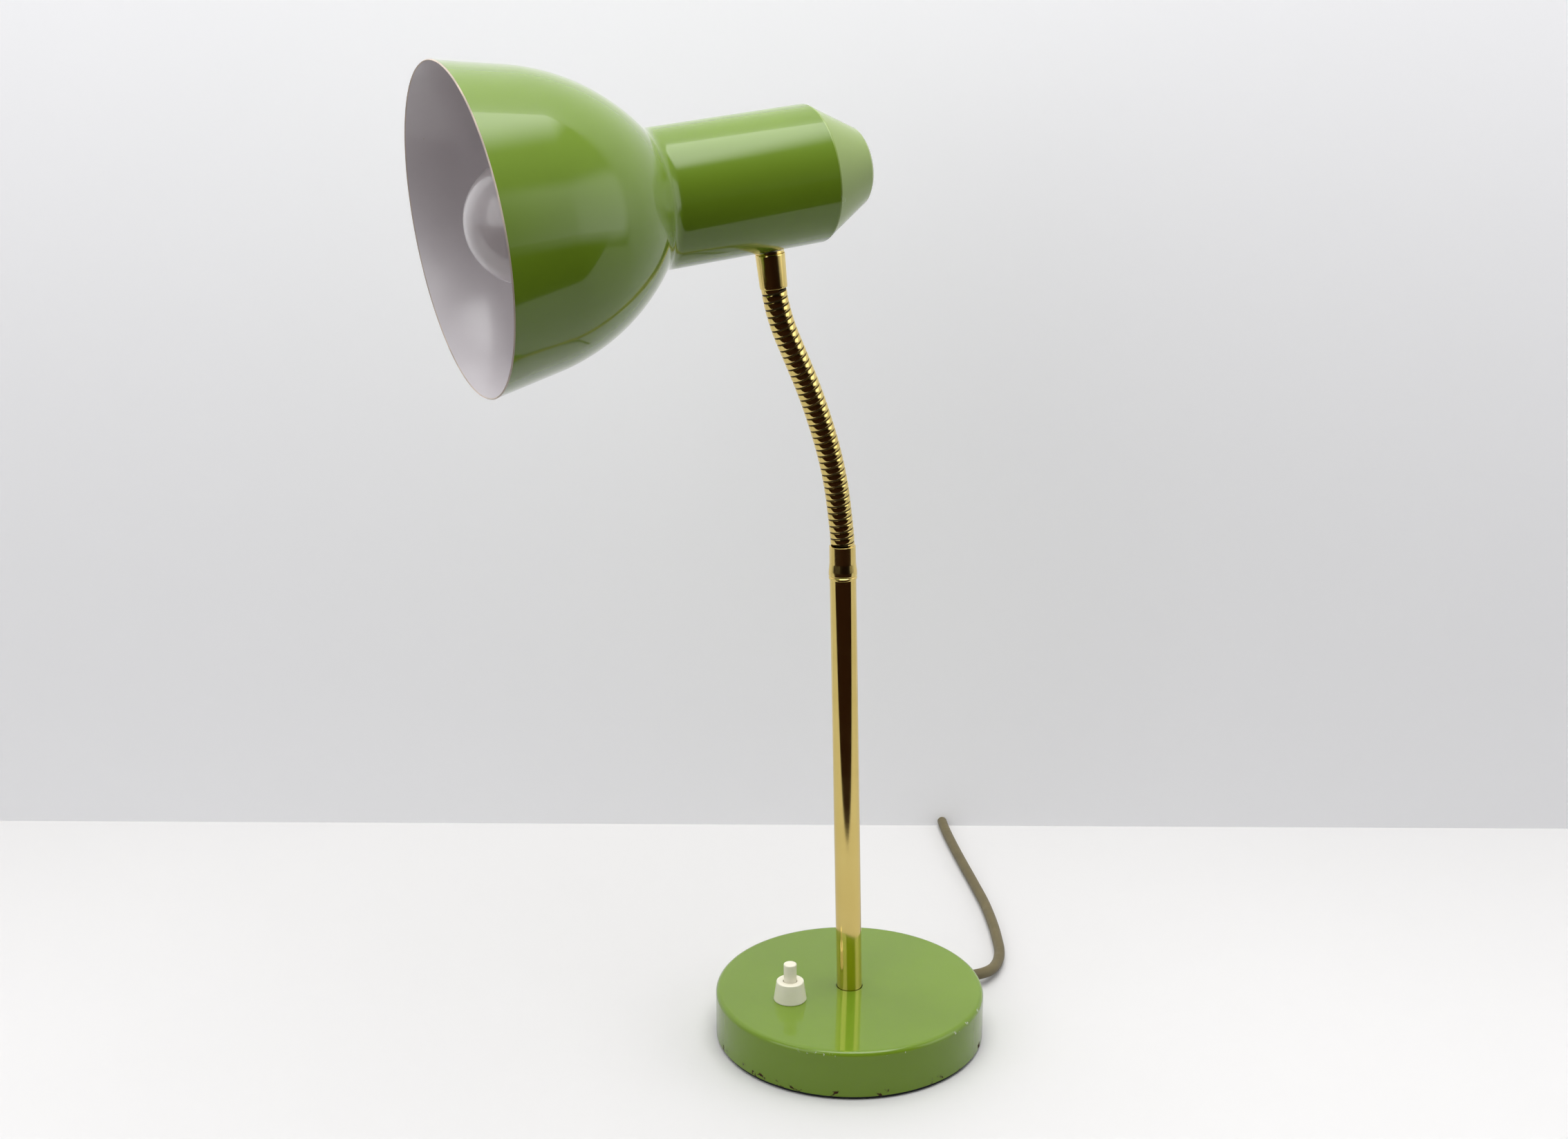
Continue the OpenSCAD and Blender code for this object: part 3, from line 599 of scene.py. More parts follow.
def smooth_through(points, steps=6):
    """A Catmull-Rom curve through points, with steps pieces between neighbours."""
    curve = []
    for i in range(len(points) - 1):
        a, b, c, d = (points[min(max(i + k, 0), len(points) - 1)] for k in (-1, 0, 1, 2))
        for k in range(steps):
            t = k / steps
            curve.append(0.5 * ((2 * b) + (c - a) * t + (2 * a - 5 * b + 4 * c - d) * t * t
                                + (3 * b - a - 3 * c + d) * t ** 3))
    return curve + [points[-1]]


def cord_path():
    mouth = Vector((0, 0, EXIT_HEIGHT)) + exit_ahead * bush_out
    lead = [mouth] + [Vector(p) * MM for p in LEAD_ROUTE]
    coil = coil_points()
    tail = [Vector(p) * MM for p in TAIL_ROUTE]
    into_coil = smooth_through(lead + coil[::6][:3], 6)[:len(lead) * 6]
    out_of_coil = smooth_through([coil[-12], coil[-1]] + tail, 6)[7:]
    path = into_coil + coil + out_of_coil
    for point in path:
        point.z = max(point.z, CORD_D / 2)
    return path


def make_cord():
    points = cord_path()
    data = bpy.data.curves.new("mains_lead", "CURVE")
    data.dimensions = "3D"
    data.bevel_depth = CORD_D / 2
    data.bevel_resolution = 6
    data.use_fill_caps = True
    spline = data.splines.new("POLY")
    spline.points.add(len(points) - 1)
    for point, at in zip(spline.points, points):
        point.co = (*at, 1)
    cord = bpy.data.objects.new("mains_lead", data)
    bpy.context.scene.collection.objects.link(cord)
    data.materials.append(FINISHES["olive_pvc"])
    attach(cord, "stand")
    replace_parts(cord, "cord_lead", "cord_coil", "cord_tail")
    return cord, points


mains_lead, lead_points = make_cord()


def make_bush():
    """Tapered ribbed sleeve round the lead, with a collar on each side of the cover's wall."""
    wall = base_r
    start = span("cord_bush", AT_EXIT)[0].z
    bore = CORD_D / 2 + 0.05 * MM
    neck, collar = 5 * MM, 6 * MM
    outline = [(bore, start, 0), (neck, start, 0.5 * MM), (neck, wall - 3.7 * MM, 0),
               (collar, wall - 3.7 * MM, 0.3 * MM), (collar, wall - 1.8 * MM, 0.3 * MM),
               (neck, wall - 1.8 * MM, 0), (neck, wall + 0.2 * MM, 0),
               (collar, wall + 0.2 * MM, 0.4 * MM), (collar, wall + 1.6 * MM, 0.4 * MM),
               (4.9 * MM, wall + 1.7 * MM, 0.2 * MM)]
    ribs = 4
    length = bush_out - wall - 2.2 * MM
    for i in range(ribs):
        near = wall + 2.2 * MM + length * i / ribs
        r = (4.9 - 0.9 * (i + 0.5) / ribs) * MM
        outline += [(r, near, 0.25 * MM), (r, near + length / ribs * 0.62, 0.25 * MM),
                    (r - 0.45 * MM, near + length / ribs * 0.7, 0.15 * MM),
                    (r - 0.45 * MM, near + length / ribs * 0.95, 0.15 * MM)]
    outline += [(CORD_D / 2 + 0.75 * MM, bush_out, 0.2 * MM), (bore, bush_out, 0)]
    return turned_piece("strain_relief", rounded(outline, 3), AT_EXIT, ["black_plastic"], "stand",
                        steps=SMALL_ROUND, closed=True, replaces=["cord_bush"])


def make_tie():
    """A flat strap closed round the coil, with a small buckle."""
    turn = math.radians(300)
    out = Vector((math.cos(turn), math.sin(turn), 0))
    across = Vector((-out.y, out.x, 0))
    near, far, low, high = 22.6 * MM, 47.4 * MM, 0.3 * MM, 13.1 * MM
    half, thick, bend = 3 * MM, 0.5 * MM, 4 * MM
    join = (near + 8 * MM, low, 0)
    corners = [(far, low, bend), (far, high, bend), (near, high, bend), (near, low, bend)]
    loop = rounded([join, *corners, join], 6)
    bm = bmesh.new()
    at = [Vector((coil_middle.x, coil_middle.y, 0)) + out * p[0] + Z * p[1] for p in loop[:-1]]
    verts = [bm.verts.new(p - across * half) for p in at]
    edges = [bm.edges.new(pair) for pair in zip(verts, verts[1:] + verts[:1])]
    made = bmesh.ops.extrude_edge_only(bm, edges=edges)["geom"]
    moved = [g for g in made if isinstance(g, bmesh.types.BMVert)]
    bmesh.ops.translate(bm, vec=across * 2 * half, verts=moved)
    bmesh.ops.recalc_face_normals(bm, faces=bm.faces)
    bmesh.ops.solidify(bm, geom=bm.faces[:], thickness=-thick)
    buckle_at = Vector((coil_middle.x, coil_middle.y, high + 0.1 * MM)) + out * (near + far) / 2
    buckle_size = Matrix.Diagonal((6 * MM, 7.4 * MM, 1.6 * MM, 1))
    buckle = bmesh.ops.create_cube(bm, size=1, matrix=place(buckle_at, out, across, Z) @ buckle_size)
    rim = list({e for v in buckle["verts"] for e in v.link_edges})
    bmesh.ops.bevel(bm, geom=rim, offset=0.5 * MM, segments=3, affect="EDGES", profile=0.5, material=-1)
    bmesh.ops.recalc_face_normals(bm, faces=bm.faces)
    piece = link_object("lead_tie", mesh_of(bm, "lead_tie"), ["black_plastic"], "stand")
    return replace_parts(piece, "cord_tie")


AT_PLUG = (Matrix.Translation(PLUG_AT) @ Matrix.Rotation(PLUG_TURN, 4, "Z")
           @ Matrix.Rotation(-math.pi / 2, 4, "X"))


def make_plug():
    """Flat two-pin plug: a waisted moulding that runs into a ribbed cord sleeve."""
    sleeve = 20 * MM
    high = span("plug_body", AT_PLUG)[1]
    wide, thick, front = high.x * 2, high.y * 2, high.z
    # half widths, half thicknesses and places along the plug of the moulding's sections
    sections = [(0.16, 0.34, 0.30), (0.26, 0.38, 0.36), (0.40, 0.46, 0.44), (0.48, 0.495, 0.55),
                (0.495, 0.495, 0.70), (0.495, 0.495, 0.90), (0.485, 0.47, 0.985), (0.45, 0.42, 1.0)]
    bm = bmesh.new()
    rings = []
    for half_wide, half_thick, along in sections:
        ring = []
        for k in range(32):
            a = 2 * math.pi * (k + 0.5) / 32
            soft = 0.55  # squareness of the section
            x = math.copysign(abs(math.cos(a)) ** soft, math.cos(a)) * half_wide * wide
            y = math.copysign(abs(math.sin(a)) ** soft, math.sin(a)) * half_thick * thick
            ring.append(bm.verts.new((x, y, along * front)))
        rings.append([bm.edges.new(pair) for pair in zip(ring, ring[1:] + ring[:1])])
    for near, far in zip(rings, rings[1:]):
        bmesh.ops.bridge_loops(bm, edges=near + far)
    for ring in (rings[0], rings[-1]):
        bmesh.ops.contextual_create(bm, geom=ring)
    bmesh.ops.recalc_face_normals(bm, faces=bm.faces)
    bmesh.ops.transform(bm, matrix=AT_PLUG, verts=bm.verts)
    mesh = mesh_of(bm, "plug_moulding", 40)
    body = link_object("plug_moulding", mesh, ["black_plastic"], "stand")
    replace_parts(body, "plug_body")
    bore = CORD_D / 2 + 0.03 * MM
    outline = [(bore, 0, 0), (3.7 * MM, 0, 0.3 * MM)]
    ribs = 6
    for i in range(ribs):
        near = 1 * MM + (sleeve - 3 * MM) * i / ribs
        r = (3.8 + 1.3 * i / ribs) * MM
        outline += [(r - 0.4 * MM, near, 0.15 * MM), (r - 0.4 * MM, near + 0.7 * MM, 0.15 * MM),
                    (r + 0.1 * MM, near + 0.9 * MM, 0.2 * MM), (r + 0.2 * MM, near + 2.5 * MM, 0.2 * MM)]
    outline += [(5.2 * MM, sleeve + 1 * MM, 0), (bore, sleeve + 1 * MM, 0)]
    cord_sleeve = turned_piece("plug_sleeve", rounded(outline, 3), AT_PLUG, ["black_plastic"], "stand",
                               steps=40, closed=True)
    pins_high = span("plug_pins", AT_PLUG)[1]
    r = pins_high.y
    bm = bmesh.new()
    root, tip = front - 2 * MM, pins_high.z
    for side in (-1, 1):
        at_pin = AT_PLUG @ Matrix.Translation((side * (pins_high.x - r), 0, 0))
        pin = spun(rounded([(0, root, 0), (r, root, 0), (r, tip, 1.6 * MM), (0, tip, 0)], 6), at_pin, 32)
        pin_mesh = bpy.data.meshes.new("pin")
        pin.to_mesh(pin_mesh)
        pin.free()
        bm.from_mesh(pin_mesh)
        bpy.data.meshes.remove(pin_mesh)
    piece = link_object("plug_prongs", mesh_of(bm, "plug_prongs"), ["nickel"], "stand")
    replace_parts(piece, "plug_pins")
    return [body, cord_sleeve, piece]


strain_relief = make_bush()
lead_tie = make_tie()
plug_parts = make_plug()


# ---------------------------------------------------------------- base

def make_base():
    pad_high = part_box("base_pad")[1]
    wall = 1.2 * MM
    rim = 2.5 * MM
    foot = base_low.z
    outline = (
        [(0, base_top)]
        + arc((base_r - rim, base_top - rim), rim, 90, 0, 10)
        + [(base_r, foot + 0.3 * MM), (base_r - 0.3 * MM, foot), (base_r - wall, foot)]
        + arc((base_r - rim, base_top - rim), rim - wall, 0, 90, 6)
        + [(0, base_top - wall)])
    cover = turned_piece("base_shell", held([Vector(p) for p in outline]), AT_ROW, ["base_green"], "stand",
                         replaces=["base_cover"])
    stem_hole = Matrix.Translation(stem_foot)
    exit_hole = AT_EXIT @ Matrix.Translation((0, 0, base_r))
    drill(cover, [(stem_hole, 6.95 * MM, 12 * MM), (AT_SWITCH, 5.2 * MM, 10 * MM),
                  (exit_hole, 5.1 * MM, 8 * MM)])
    r, top = pad_high.x, pad_high.z
    pad = rounded([(0, 0, 0), (r, 0, 0.4 * MM), (r, top, 0.3 * MM), (0, top, 0)], 3)
    turned_piece("felt_pad", pad, AT_ROW, ["felt"], "stand", steps=128, replaces=["base_pad"])


def make_switch():
    low, high = span("switch_collar", AT_SWITCH)
    bore = 3.62 * MM
    low_r, up_r, rise = high.x, 7 * MM, high.z
    outline = rounded([(bore, 0.2 * MM, 0), (low_r - 0.2 * MM, 0, 0.2 * MM), (low_r, 0.5 * MM, 0.4 * MM),
                       (up_r, rise, 0.5 * MM), (bore + 0.2 * MM, rise, 0.15 * MM),
                       (bore, rise - 0.3 * MM, 0.1 * MM), (bore, 0.2 * MM, 0)], 5)
    turned_piece("switch_cone", outline, AT_SWITCH, ["ivory"], "stand", steps=MIDDLE_ROUND,
                 closed=True, replaces=["switch_collar"])
    low, high = span("switch_button", AT_SWITCH)
    r = 3.35 * MM
    outline = rounded([(0, low.z, 0), (high.x, low.z, 0.1 * MM), (high.x, low.z + 1 * MM, 0.1 * MM),
                       (r, low.z + 1 * MM, 0.1 * MM), (r, high.z, 0.5 * MM), (0, high.z, 0)], 5)
    turned_piece("switch_plunger", outline, AT_SWITCH, ["ivory"], "button",
                 steps=MIDDLE_ROUND, replaces=["switch_button"])
    make_spring()


def make_spring():
    """A wound spring between the switch's body and its plunger."""
    low, high = span("switch_spring", AT_SWITCH)
    thick, turns, rounds = 0.42 * MM, 5.5, 24
    rise = (high.z - low.z - 2 * thick) / turns
    bm = bmesh.new()
    ring = [Vector((high.x - thick + thick * math.cos(a), 0, low.z + thick + thick * math.sin(a)))
            for a in (2 * math.pi * k / 8 for k in range(8))]
    verts = [bm.verts.new(p) for p in ring]
    edges = [bm.edges.new(pair) for pair in zip(verts, verts[1:] + verts[:1])]
    bmesh.ops.contextual_create(bm, geom=edges)
    steps = round(rounds * turns)
    made = bmesh.ops.spin(bm, geom=verts + edges, cent=(0, 0, 0), axis=(0, 0, 1), angle=2 * math.pi * turns,
                          dvec=(0, 0, rise * turns / steps), steps=steps)
    last = [g for g in made["geom_last"] if isinstance(g, bmesh.types.BMEdge)]
    bmesh.ops.contextual_create(bm, geom=last)
    bmesh.ops.recalc_face_normals(bm, faces=bm.faces)
    bmesh.ops.transform(bm, matrix=AT_SWITCH, verts=bm.verts)
    piece = link_object("return_spring", mesh_of(bm, "return_spring", 60), ["zinc"], None)
    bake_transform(piece)
    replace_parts(piece, "switch_spring")


# ---------------------------------------------------------------- stem, neck and ferrules

def make_stem():
    low, high = span("stem_tube", AT_STEM)
    r = high.x
    tail, bore = 5 * MM, 3.6 * MM
    outline = rounded([(bore, low.z, 0), (tail, low.z, 0.3 * MM), (tail, -1 * MM, 0), (r, -1 * MM, 0.2 * MM),
                       (r, high.z, 0.2 * MM), (5 * MM, high.z, 0), (5 * MM, 1 * MM, 0), (bore, 1 * MM, 0)], 3)
    turned_piece("stem", outline, AT_STEM, ["stem_brass"], "stand", steps=MIDDLE_ROUND,
                 closed=True, replaces=["stem_tube"])
    low, high = span("lower_collar", AT_STEM)
    foot, top = low.z, (hinges[0] - stem_foot).length
    neck = 6.03 * MM
    outline = rounded([
        (r + 0.02 * MM, foot, 0), (r + 0.35 * MM, foot, 0.15 * MM),
        (r + 0.45 * MM, foot + 1.1 * MM, 0.2 * MM), (r + 0.15 * MM, foot + 1.4 * MM, 0.08 * MM),
        (r + 0.15 * MM, foot + 1.7 * MM, 0.08 * MM), (r + 0.5 * MM, foot + 2.2 * MM, 0.3 * MM),
        (r + 0.45 * MM, foot + 4 * MM, 1 * MM), (r, foot + 8 * MM, 3 * MM),
        (r - 0.1 * MM, top - 0.15 * MM, 0.2 * MM), (neck - 0.35 * MM, top, 0.05 * MM),
        (neck - 0.6 * MM, top - 1.2 * MM, 0), (neck - 0.6 * MM, foot + 4.2 * MM, 0),
        (r + 0.02 * MM, foot + 4 * MM, 0)], 4)
    turned_piece("lower_sleeve", outline, AT_STEM, ["plain_brass"], "stand",
                 steps=MIDDLE_ROUND, closed=True, replaces=["lower_collar"])


def make_ferrule():
    high = span("upper_ferrule", AT_FERRULE)[1]
    top = high.z + 0.15 * MM
    foot_r, top_r, bore = 6.45 * MM, 7.0 * MM, 5.02 * MM
    outline = rounded([(5.4 * MM, 1.2 * MM, 0), (5.5 * MM, 0, 0), (foot_r, 0, 0.2 * MM),
                       (foot_r + 0.08 * MM, 1 * MM, 0.3 * MM), (top_r, top - 0.6 * MM, 0.4 * MM),
                       (top_r - 0.1 * MM, top, 0.2 * MM), (bore, top, 0), (bore, 6 * MM, 0)], 4)
    turned_piece("taper_ferrule", outline, AT_FERRULE, ["plain_brass"], "ferrule",
                 steps=MIDDLE_ROUND, closed=True, replaces=["upper_ferrule"])


class NeckLine:
    """The neck's middle line: a smooth curve through the hinges, upright at each end."""

    def __init__(self):
        self.points = hinges
        ways = [(b - a).normalized() for a, b in zip(hinges, hinges[1:])]
        middle = [(a + b).normalized() for a, b in zip(ways, ways[1:])]
        self.ways = [stem_up, *middle, head_up]
        self.step = (hinges[1] - hinges[0]).length
        self.length = self.step * (len(hinges) - 1)

    def at(self, s):
        """Point and direction at the distance s from the lower collar."""
        i = min(max(int(s / self.step), 0), len(self.points) - 2)
        t = s / self.step - i
        a, b = self.points[i], self.points[i + 1]
        u, v = self.ways[i] * self.step, self.ways[i + 1] * self.step
        point = (a * (2 * t ** 3 - 3 * t * t + 1) + u * (t ** 3 - 2 * t * t + t)
                 + b * (-2 * t ** 3 + 3 * t * t) + v * (t ** 3 - t * t))
        way = (a * (6 * t * t - 6 * t) + u * (3 * t * t - 4 * t + 1)
               + b * (-6 * t * t + 6 * t) + v * (3 * t * t - 2 * t))
        return point, way.normalized()


neck_line = NeckLine()
TURNS_PER_LINK = 5


def wound_piece(index):
    """One length of the wound neck, centred on a hinge: the polished outer band over a dark inner wire,
    darkened further as painted shade in the gaps between the bands.
    """
    step = neck_line.step
    start = max(0.0, (index - 0.5) * step)
    end = min(neck_line.length, (index + 0.5) * step)
    pitch = step / TURNS_PER_LINK
    turns = (end - start) / pitch
    rounds = 36
    band = [(5.15, -1.3), (5.72, -1.36), (5.92, -1.24), (5.99, -0.95), (6.0, 0), (5.99, 0.95), (5.92, 1.24),
            (5.72, 1.36), (5.15, 1.3)]
    wire_r = 0.75 * MM
    bm = bmesh.new()
    for kind in (0, 1):
        if kind == 0:
            ring = [Vector((r * MM, 0, z * MM)) for r, z in band]
        else:
            ring = [Vector((5.05 * MM + wire_r * math.cos(a), 0, pitch / 2 + wire_r * math.sin(a)))
                    for a in (2 * math.pi * k / 8 for k in range(8))]
        before = set(bm.verts)
        verts = [bm.verts.new(p + Z * start) for p in ring]
        edges = [bm.edges.new(pair) for pair in zip(verts, verts[1:] + verts[:1])]
        bmesh.ops.contextual_create(bm, geom=edges)
        steps = max(1, round(rounds * turns))
        turn = Matrix.Rotation(2 * math.pi * start / pitch, 4, "Z")
        bmesh.ops.transform(bm, matrix=turn, verts=verts)
        made = bmesh.ops.spin(
            bm, geom=verts + edges, cent=(0, 0, 0), axis=(0, 0, 1), angle=2 * math.pi * turns,
            dvec=(0, 0, (end - start) / steps), steps=steps)
        last = [g for g in made["geom_last"] if isinstance(g, bmesh.types.BMEdge)]
        bmesh.ops.contextual_create(bm, geom=last)
        fresh = {v for v in bm.verts if v not in before}
        for face in bm.faces:
            if face.verts[0] in fresh:
                face.material_index = kind
    bmesh.ops.recalc_face_normals(bm, faces=bm.faces)
    for vert in bm.verts:
        middle, way = neck_line.at(vert.co.z)
        side = way.cross(X)
        vert.co = middle + X * vert.co.x + side * vert.co.y
    name = f"neck_winding_{index + 1}"
    mesh = mesh_of(bm, name, 40)
    piece = link_object(name, mesh, ["neck_brass", "neck_core_painted_shade"], None)
    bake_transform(piece)
    if index < len(hinges) - 1:
        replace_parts(piece, f"neck_link_{index + 1}")
    return piece


# ---------------------------------------------------------------- head

def shade_outline():
    """Outer outline of housing and shade as (r, z) points, z forwards along the head's axis."""
    low, high = span("shade", AT_HEAD)
    opening_r, reach, back = high.x, high.z, low.z
    housing_r = span("rear_cap", AT_HEAD)[1].x + 0.3 * MM
    slope = math.radians(10.7)
    skirt, crown_r, fillet_r = 31 * MM, 96 * MM, 8 * MM
    near_z, near_r = reach - skirt, opening_r - skirt * math.tan(slope)
    crown = Vector((near_r - crown_r * math.cos(slope), near_z + crown_r * math.sin(slope)))
    end = math.acos((housing_r + fillet_r - crown.x) / (crown_r + fillet_r))
    fillet = crown + (crown_r + fillet_r) * Vector((math.cos(end), -math.sin(end)))
    outline = [Vector((housing_r, back)), Vector((housing_r, fillet.y - 1 * MM))]
    for k in range(9):
        a = end * k / 8
        outline.append(fillet + fillet_r * Vector((-math.cos(a), math.sin(a))))
    for k in range(1, 25):
        a = end + (slope - end) * k / 24
        outline.append(crown + crown_r * Vector((math.cos(a), -math.sin(a))))
    outline.append(Vector((opening_r, reach)))
    return outline


def inset(outline, depth):
    """The outline moved inwards by depth, square to itself."""
    moved = []
    for i, p in enumerate(outline):
        along = (outline[min(i + 1, len(outline) - 1)] - outline[max(i - 1, 0)]).normalized()
        moved.append(p + Vector((-along.y, along.x)) * depth)
    return moved


def make_shade():
    wall = 1 * MM
    outside = shade_outline()
    inside = inset(outside, wall)
    lip = [(outside[-1] + inside[-1]) / 2 + Vector((0, 0.2 * MM))]
    outside[-1] = outside[-1] - Vector((0.1 * MM, 0.3 * MM))
    inside[-1] = inside[-1] - Vector((-0.1 * MM, 0.3 * MM))
    inside = inside[::-1]
    inside[-1] = Vector((inside[-1].x, outside[0].y))
    finishes = ["shade_green", "worn_edge", "white_enamel"]
    piece = turned_piece("bell_shade", outside + lip + inside, AT_HEAD, finishes, "head",
                         closed=True, finish_from=[(len(outside) - 1, 1), (len(outside) + 1, 2)],
                         replaces=["shade"])
    housing_r = outside[0].x
    hole = AT_HEAD @ Matrix.Translation((0, -housing_r, 0)) @ Matrix.Rotation(math.pi / 2, 4, "X")
    drill(piece, [(hole, 5.1 * MM, 12 * MM)])
    return housing_r


def make_rear_cap():
    low, high = span("rear_cap", AT_HEAD)
    edge, back = high.x, low.z
    joint = high.z - 5 * MM
    end_r = 18 * MM
    lip = edge + 0.3 * MM - 1.05 * MM
    outline = rounded([
        (lip, high.z, 0.2 * MM), (lip, joint - 0.1 * MM, 0), (edge, joint - 0.1 * MM, 0.15 * MM),
        (edge, joint - 0.9 * MM, 0.4 * MM), (end_r + 0.3 * MM, back + 1.6 * MM, 1.2 * MM),
        (end_r - 1.5 * MM, back, 1.2 * MM), (0, back - 0.0001 * MM, 0), (0, back + 1.1 * MM, 0),
        (end_r - 2.3 * MM, back + 1.2 * MM, 0.5 * MM),
        (lip - 1.1 * MM, joint - 0.4 * MM, 0.3 * MM), (lip - 1.1 * MM, high.z, 0)], 5)
    turned_piece("tapered_cap", outline, AT_HEAD, ["cap_green"], "head", steps=160,
                 closed=True, replaces=["rear_cap"])


def make_saddle_washer(housing_r):
    """A thin disc pressed to the curve of the housing, with a rolled rim."""
    reach, thick = span("saddle_washer", AT_HEAD)[1].x, 0.5 * MM
    bm = bmesh.new()
    bmesh.ops.create_circle(bm, cap_ends=True, segments=72, radius=reach - 0.1 * MM)
    for depth in (0.5, 1.0, 1.8, 1.8, 1.8):
        bmesh.ops.inset_region(bm, faces=[f for f in bm.faces if len(f.verts) > 4], thickness=depth * MM)
    bmesh.ops.delete(bm, geom=[f for f in bm.faces if len(f.verts) > 4], context="FACES_ONLY")
    outer = housing_r + 0.12 * MM + thick
    for vert in bm.verts:
        x, z = vert.co.x, vert.co.y
        angle = x / outer
        flare = 0.5 * MM * max(0.0, (Vector((x, z)).length / reach - 0.86) / 0.14) ** 2
        vert.co = (math.sin(angle) * (outer + flare), -math.cos(angle) * (outer + flare), z)
    bmesh.ops.recalc_face_normals(bm, faces=bm.faces)
    bmesh.ops.solidify(bm, geom=bm.faces[:], thickness=thick)
    crest = outer - thick
    bore, boss = 5.1 * MM, 6.7 * MM
    steps = 48
    rims = []
    for radius, foot in ((bore, True), (boss - 0.3 * MM, True), (boss, False), (boss, None), (bore, None)):
        ring = []
        for k in range(steps):
            a = 2 * math.pi * k / steps
            x = radius * math.cos(a)
            low_at = -crest - 1.0 * MM + (0 if foot else 0.3 * MM)
            y = low_at if foot is not None else -math.sqrt((crest + 0.2 * MM) ** 2 - x * x)
            ring.append(bm.verts.new((x, y, radius * math.sin(a))))
        rims.append([bm.edges.new(pair) for pair in zip(ring, ring[1:] + ring[:1])])
    for near, far in zip(rims, rims[1:] + rims[:1]):
        bmesh.ops.bridge_loops(bm, edges=near + far)
    bmesh.ops.transform(bm, matrix=AT_HEAD, verts=bm.verts)
    bmesh.ops.recalc_face_normals(bm, faces=bm.faces)
    mesh = mesh_of(bm, "saddle_disc")
    piece = link_object("saddle_disc", mesh, ["plain_brass"], "head")
    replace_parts(piece, "saddle_washer")


def make_bulb():
    low, high = span("bulb_glass", AT_HEAD)
    r = high.x
    centre = high.z - r
    neck = low.z
    wall = 0.7 * MM
    side = [(0, centre + r)] + arc((0, centre), r, 86, -38, 40)
    taper = [(16.6 * MM, centre - r + 2.5 * MM), (14.9 * MM, centre - r - 3.5 * MM),
             (13.4 * MM, neck + 9 * MM), (12.6 * MM, neck + 7 * MM), (12.6 * MM, neck)]
    join = smooth_through([Vector((p[0], p[1], 0)) for p in (side[-4], side[-1], *taper)], 6)[6:]
    outer = [Vector(p[:2]) if len(p) > 2 else Vector(p) for p in side] + [Vector(p[:2]) for p in join[1:]]
    inner = inset(outer, -wall)
    inner[0] = Vector((0, outer[0].y - wall))
    outline = outer + inner[::-1]
    turned_piece("bulb_glass_globe", outline, AT_HEAD, ["pearl_glass"], "head",
                 steps=MIDDLE_ROUND, replaces=["bulb_glass"])
    low, high = span("bulb_cap", AT_HEAD)
    outline = [(7.5 * MM, low.z, 0), (9.5 * MM, low.z + 1.5 * MM, 0.5 * MM),
               (12.2 * MM, low.z + 4 * MM, 0.5 * MM)]
    for i in range(6):
        z = low.z + (5 + 3.2 * i) * MM
        outline += [(13.0 * MM, z, 0.6 * MM), (12.2 * MM, z + 1.6 * MM, 0.6 * MM)]
    outline += [(12.9 * MM, high.z - 0.4 * MM, 0.2 * MM), (12.75 * MM, high.z, 0.1 * MM),
                (12.3 * MM, high.z - 0.3 * MM, 0), (11.8 * MM, low.z + 5 * MM, 0),
                (7 * MM, low.z + 1.2 * MM, 0)]
    turned_piece("bulb_screw_cap", rounded(outline, 4), AT_HEAD, ["nickel"], "head", steps=72,
                 closed=True, replaces=["bulb_cap"])


def make_socket():
    low, high = span("socket_body", AT_HEAD)
    r, back, front = high.x, low.z, high.z
    outline = [(5.1 * MM, back, 0), (12 * MM, back, 1 * MM), (r - 2 * MM, back + 6 * MM, 2 * MM)]
    for i in range(3):
        z = back + (11 + 5 * i) * MM
        outline += [(r, z, 0.6 * MM), (r, z + 3 * MM, 0.6 * MM), (r - 0.7 * MM, z + 3.6 * MM, 0.4 * MM),
                    (r - 0.7 * MM, z + 4.4 * MM, 0.4 * MM)]
    outline += [(r, back + 28 * MM, 0.6 * MM), (r - 1.5 * MM, back + 32 * MM, 1 * MM),
                (r - 1.5 * MM, front, 1 * MM), (15.2 * MM, front, 0.6 * MM), (14.8 * MM, 36 * MM, 0),
                (5.1 * MM, 34 * MM, 0)]
    turned_piece("lamp_holder", rounded(outline, 4), AT_HEAD, ["bakelite"], "head",
                 steps=MIDDLE_ROUND, closed=True, replaces=["socket_body"])


make_base()
make_switch()
make_stem()
make_ferrule()
for number in range(len(hinges)):
    wound_piece(number)
housing_radius = make_shade()
make_rear_cap()
make_saddle_washer(housing_radius)
make_bulb()
make_socket()


# ---------------------------------------------------------------- finishes of the CAD nodes that stay

CAD_FINISHES = {
    "cast_iron": ["base_weight"],
    "zinc": ["stem_washer", "stem_nut", "cord_clamp", "clamp_screws", "head_nipple", "head_nut",
             "socket_carrier", "socket_nuts", "bulb_filament"],
    "plain_brass": ["terminal_screws", "socket_tube", "socket_thread", "socket_contact", "socket_screws"],
    "olive_pvc": ["stem_lead", "lead_inside"],
    "bakelite": ["switch_body", "bulb_tip"],
    "porcelain": ["terminal_block"],
}
for finish, node_names in CAD_FINISHES.items():
    for node_name in node_names:
        materials = frame["nodes"][node_name].data.materials
        materials.clear()
        materials.append(FINISHES[finish])


# ---------------------------------------------------------------- stage and light

TOWARDS_CAMERA = (0.887, -0.462, 0)
TABLE_EDGE, TABLE_EDGE_END = 0.22, 0.27  # along TOWARDS_CAMERA
WALL_AWAY = Vector((-0.898, 0.440, 0)).normalized()
WALL_DISTANCE = 0.273


def plain_finish(name, colour, roughness):
    """A matt finish for the stage, with a slight drift of shade."""
    material, tree, shader = finish_of(name, Roughness=roughness)
    drift = use(tree, MOTTLE, "Value", Scale=3.0)
    wire(tree, shader, Base_Color=blended(tree, drift, tuple(c * 0.985 for c in colour), colour))
    return material


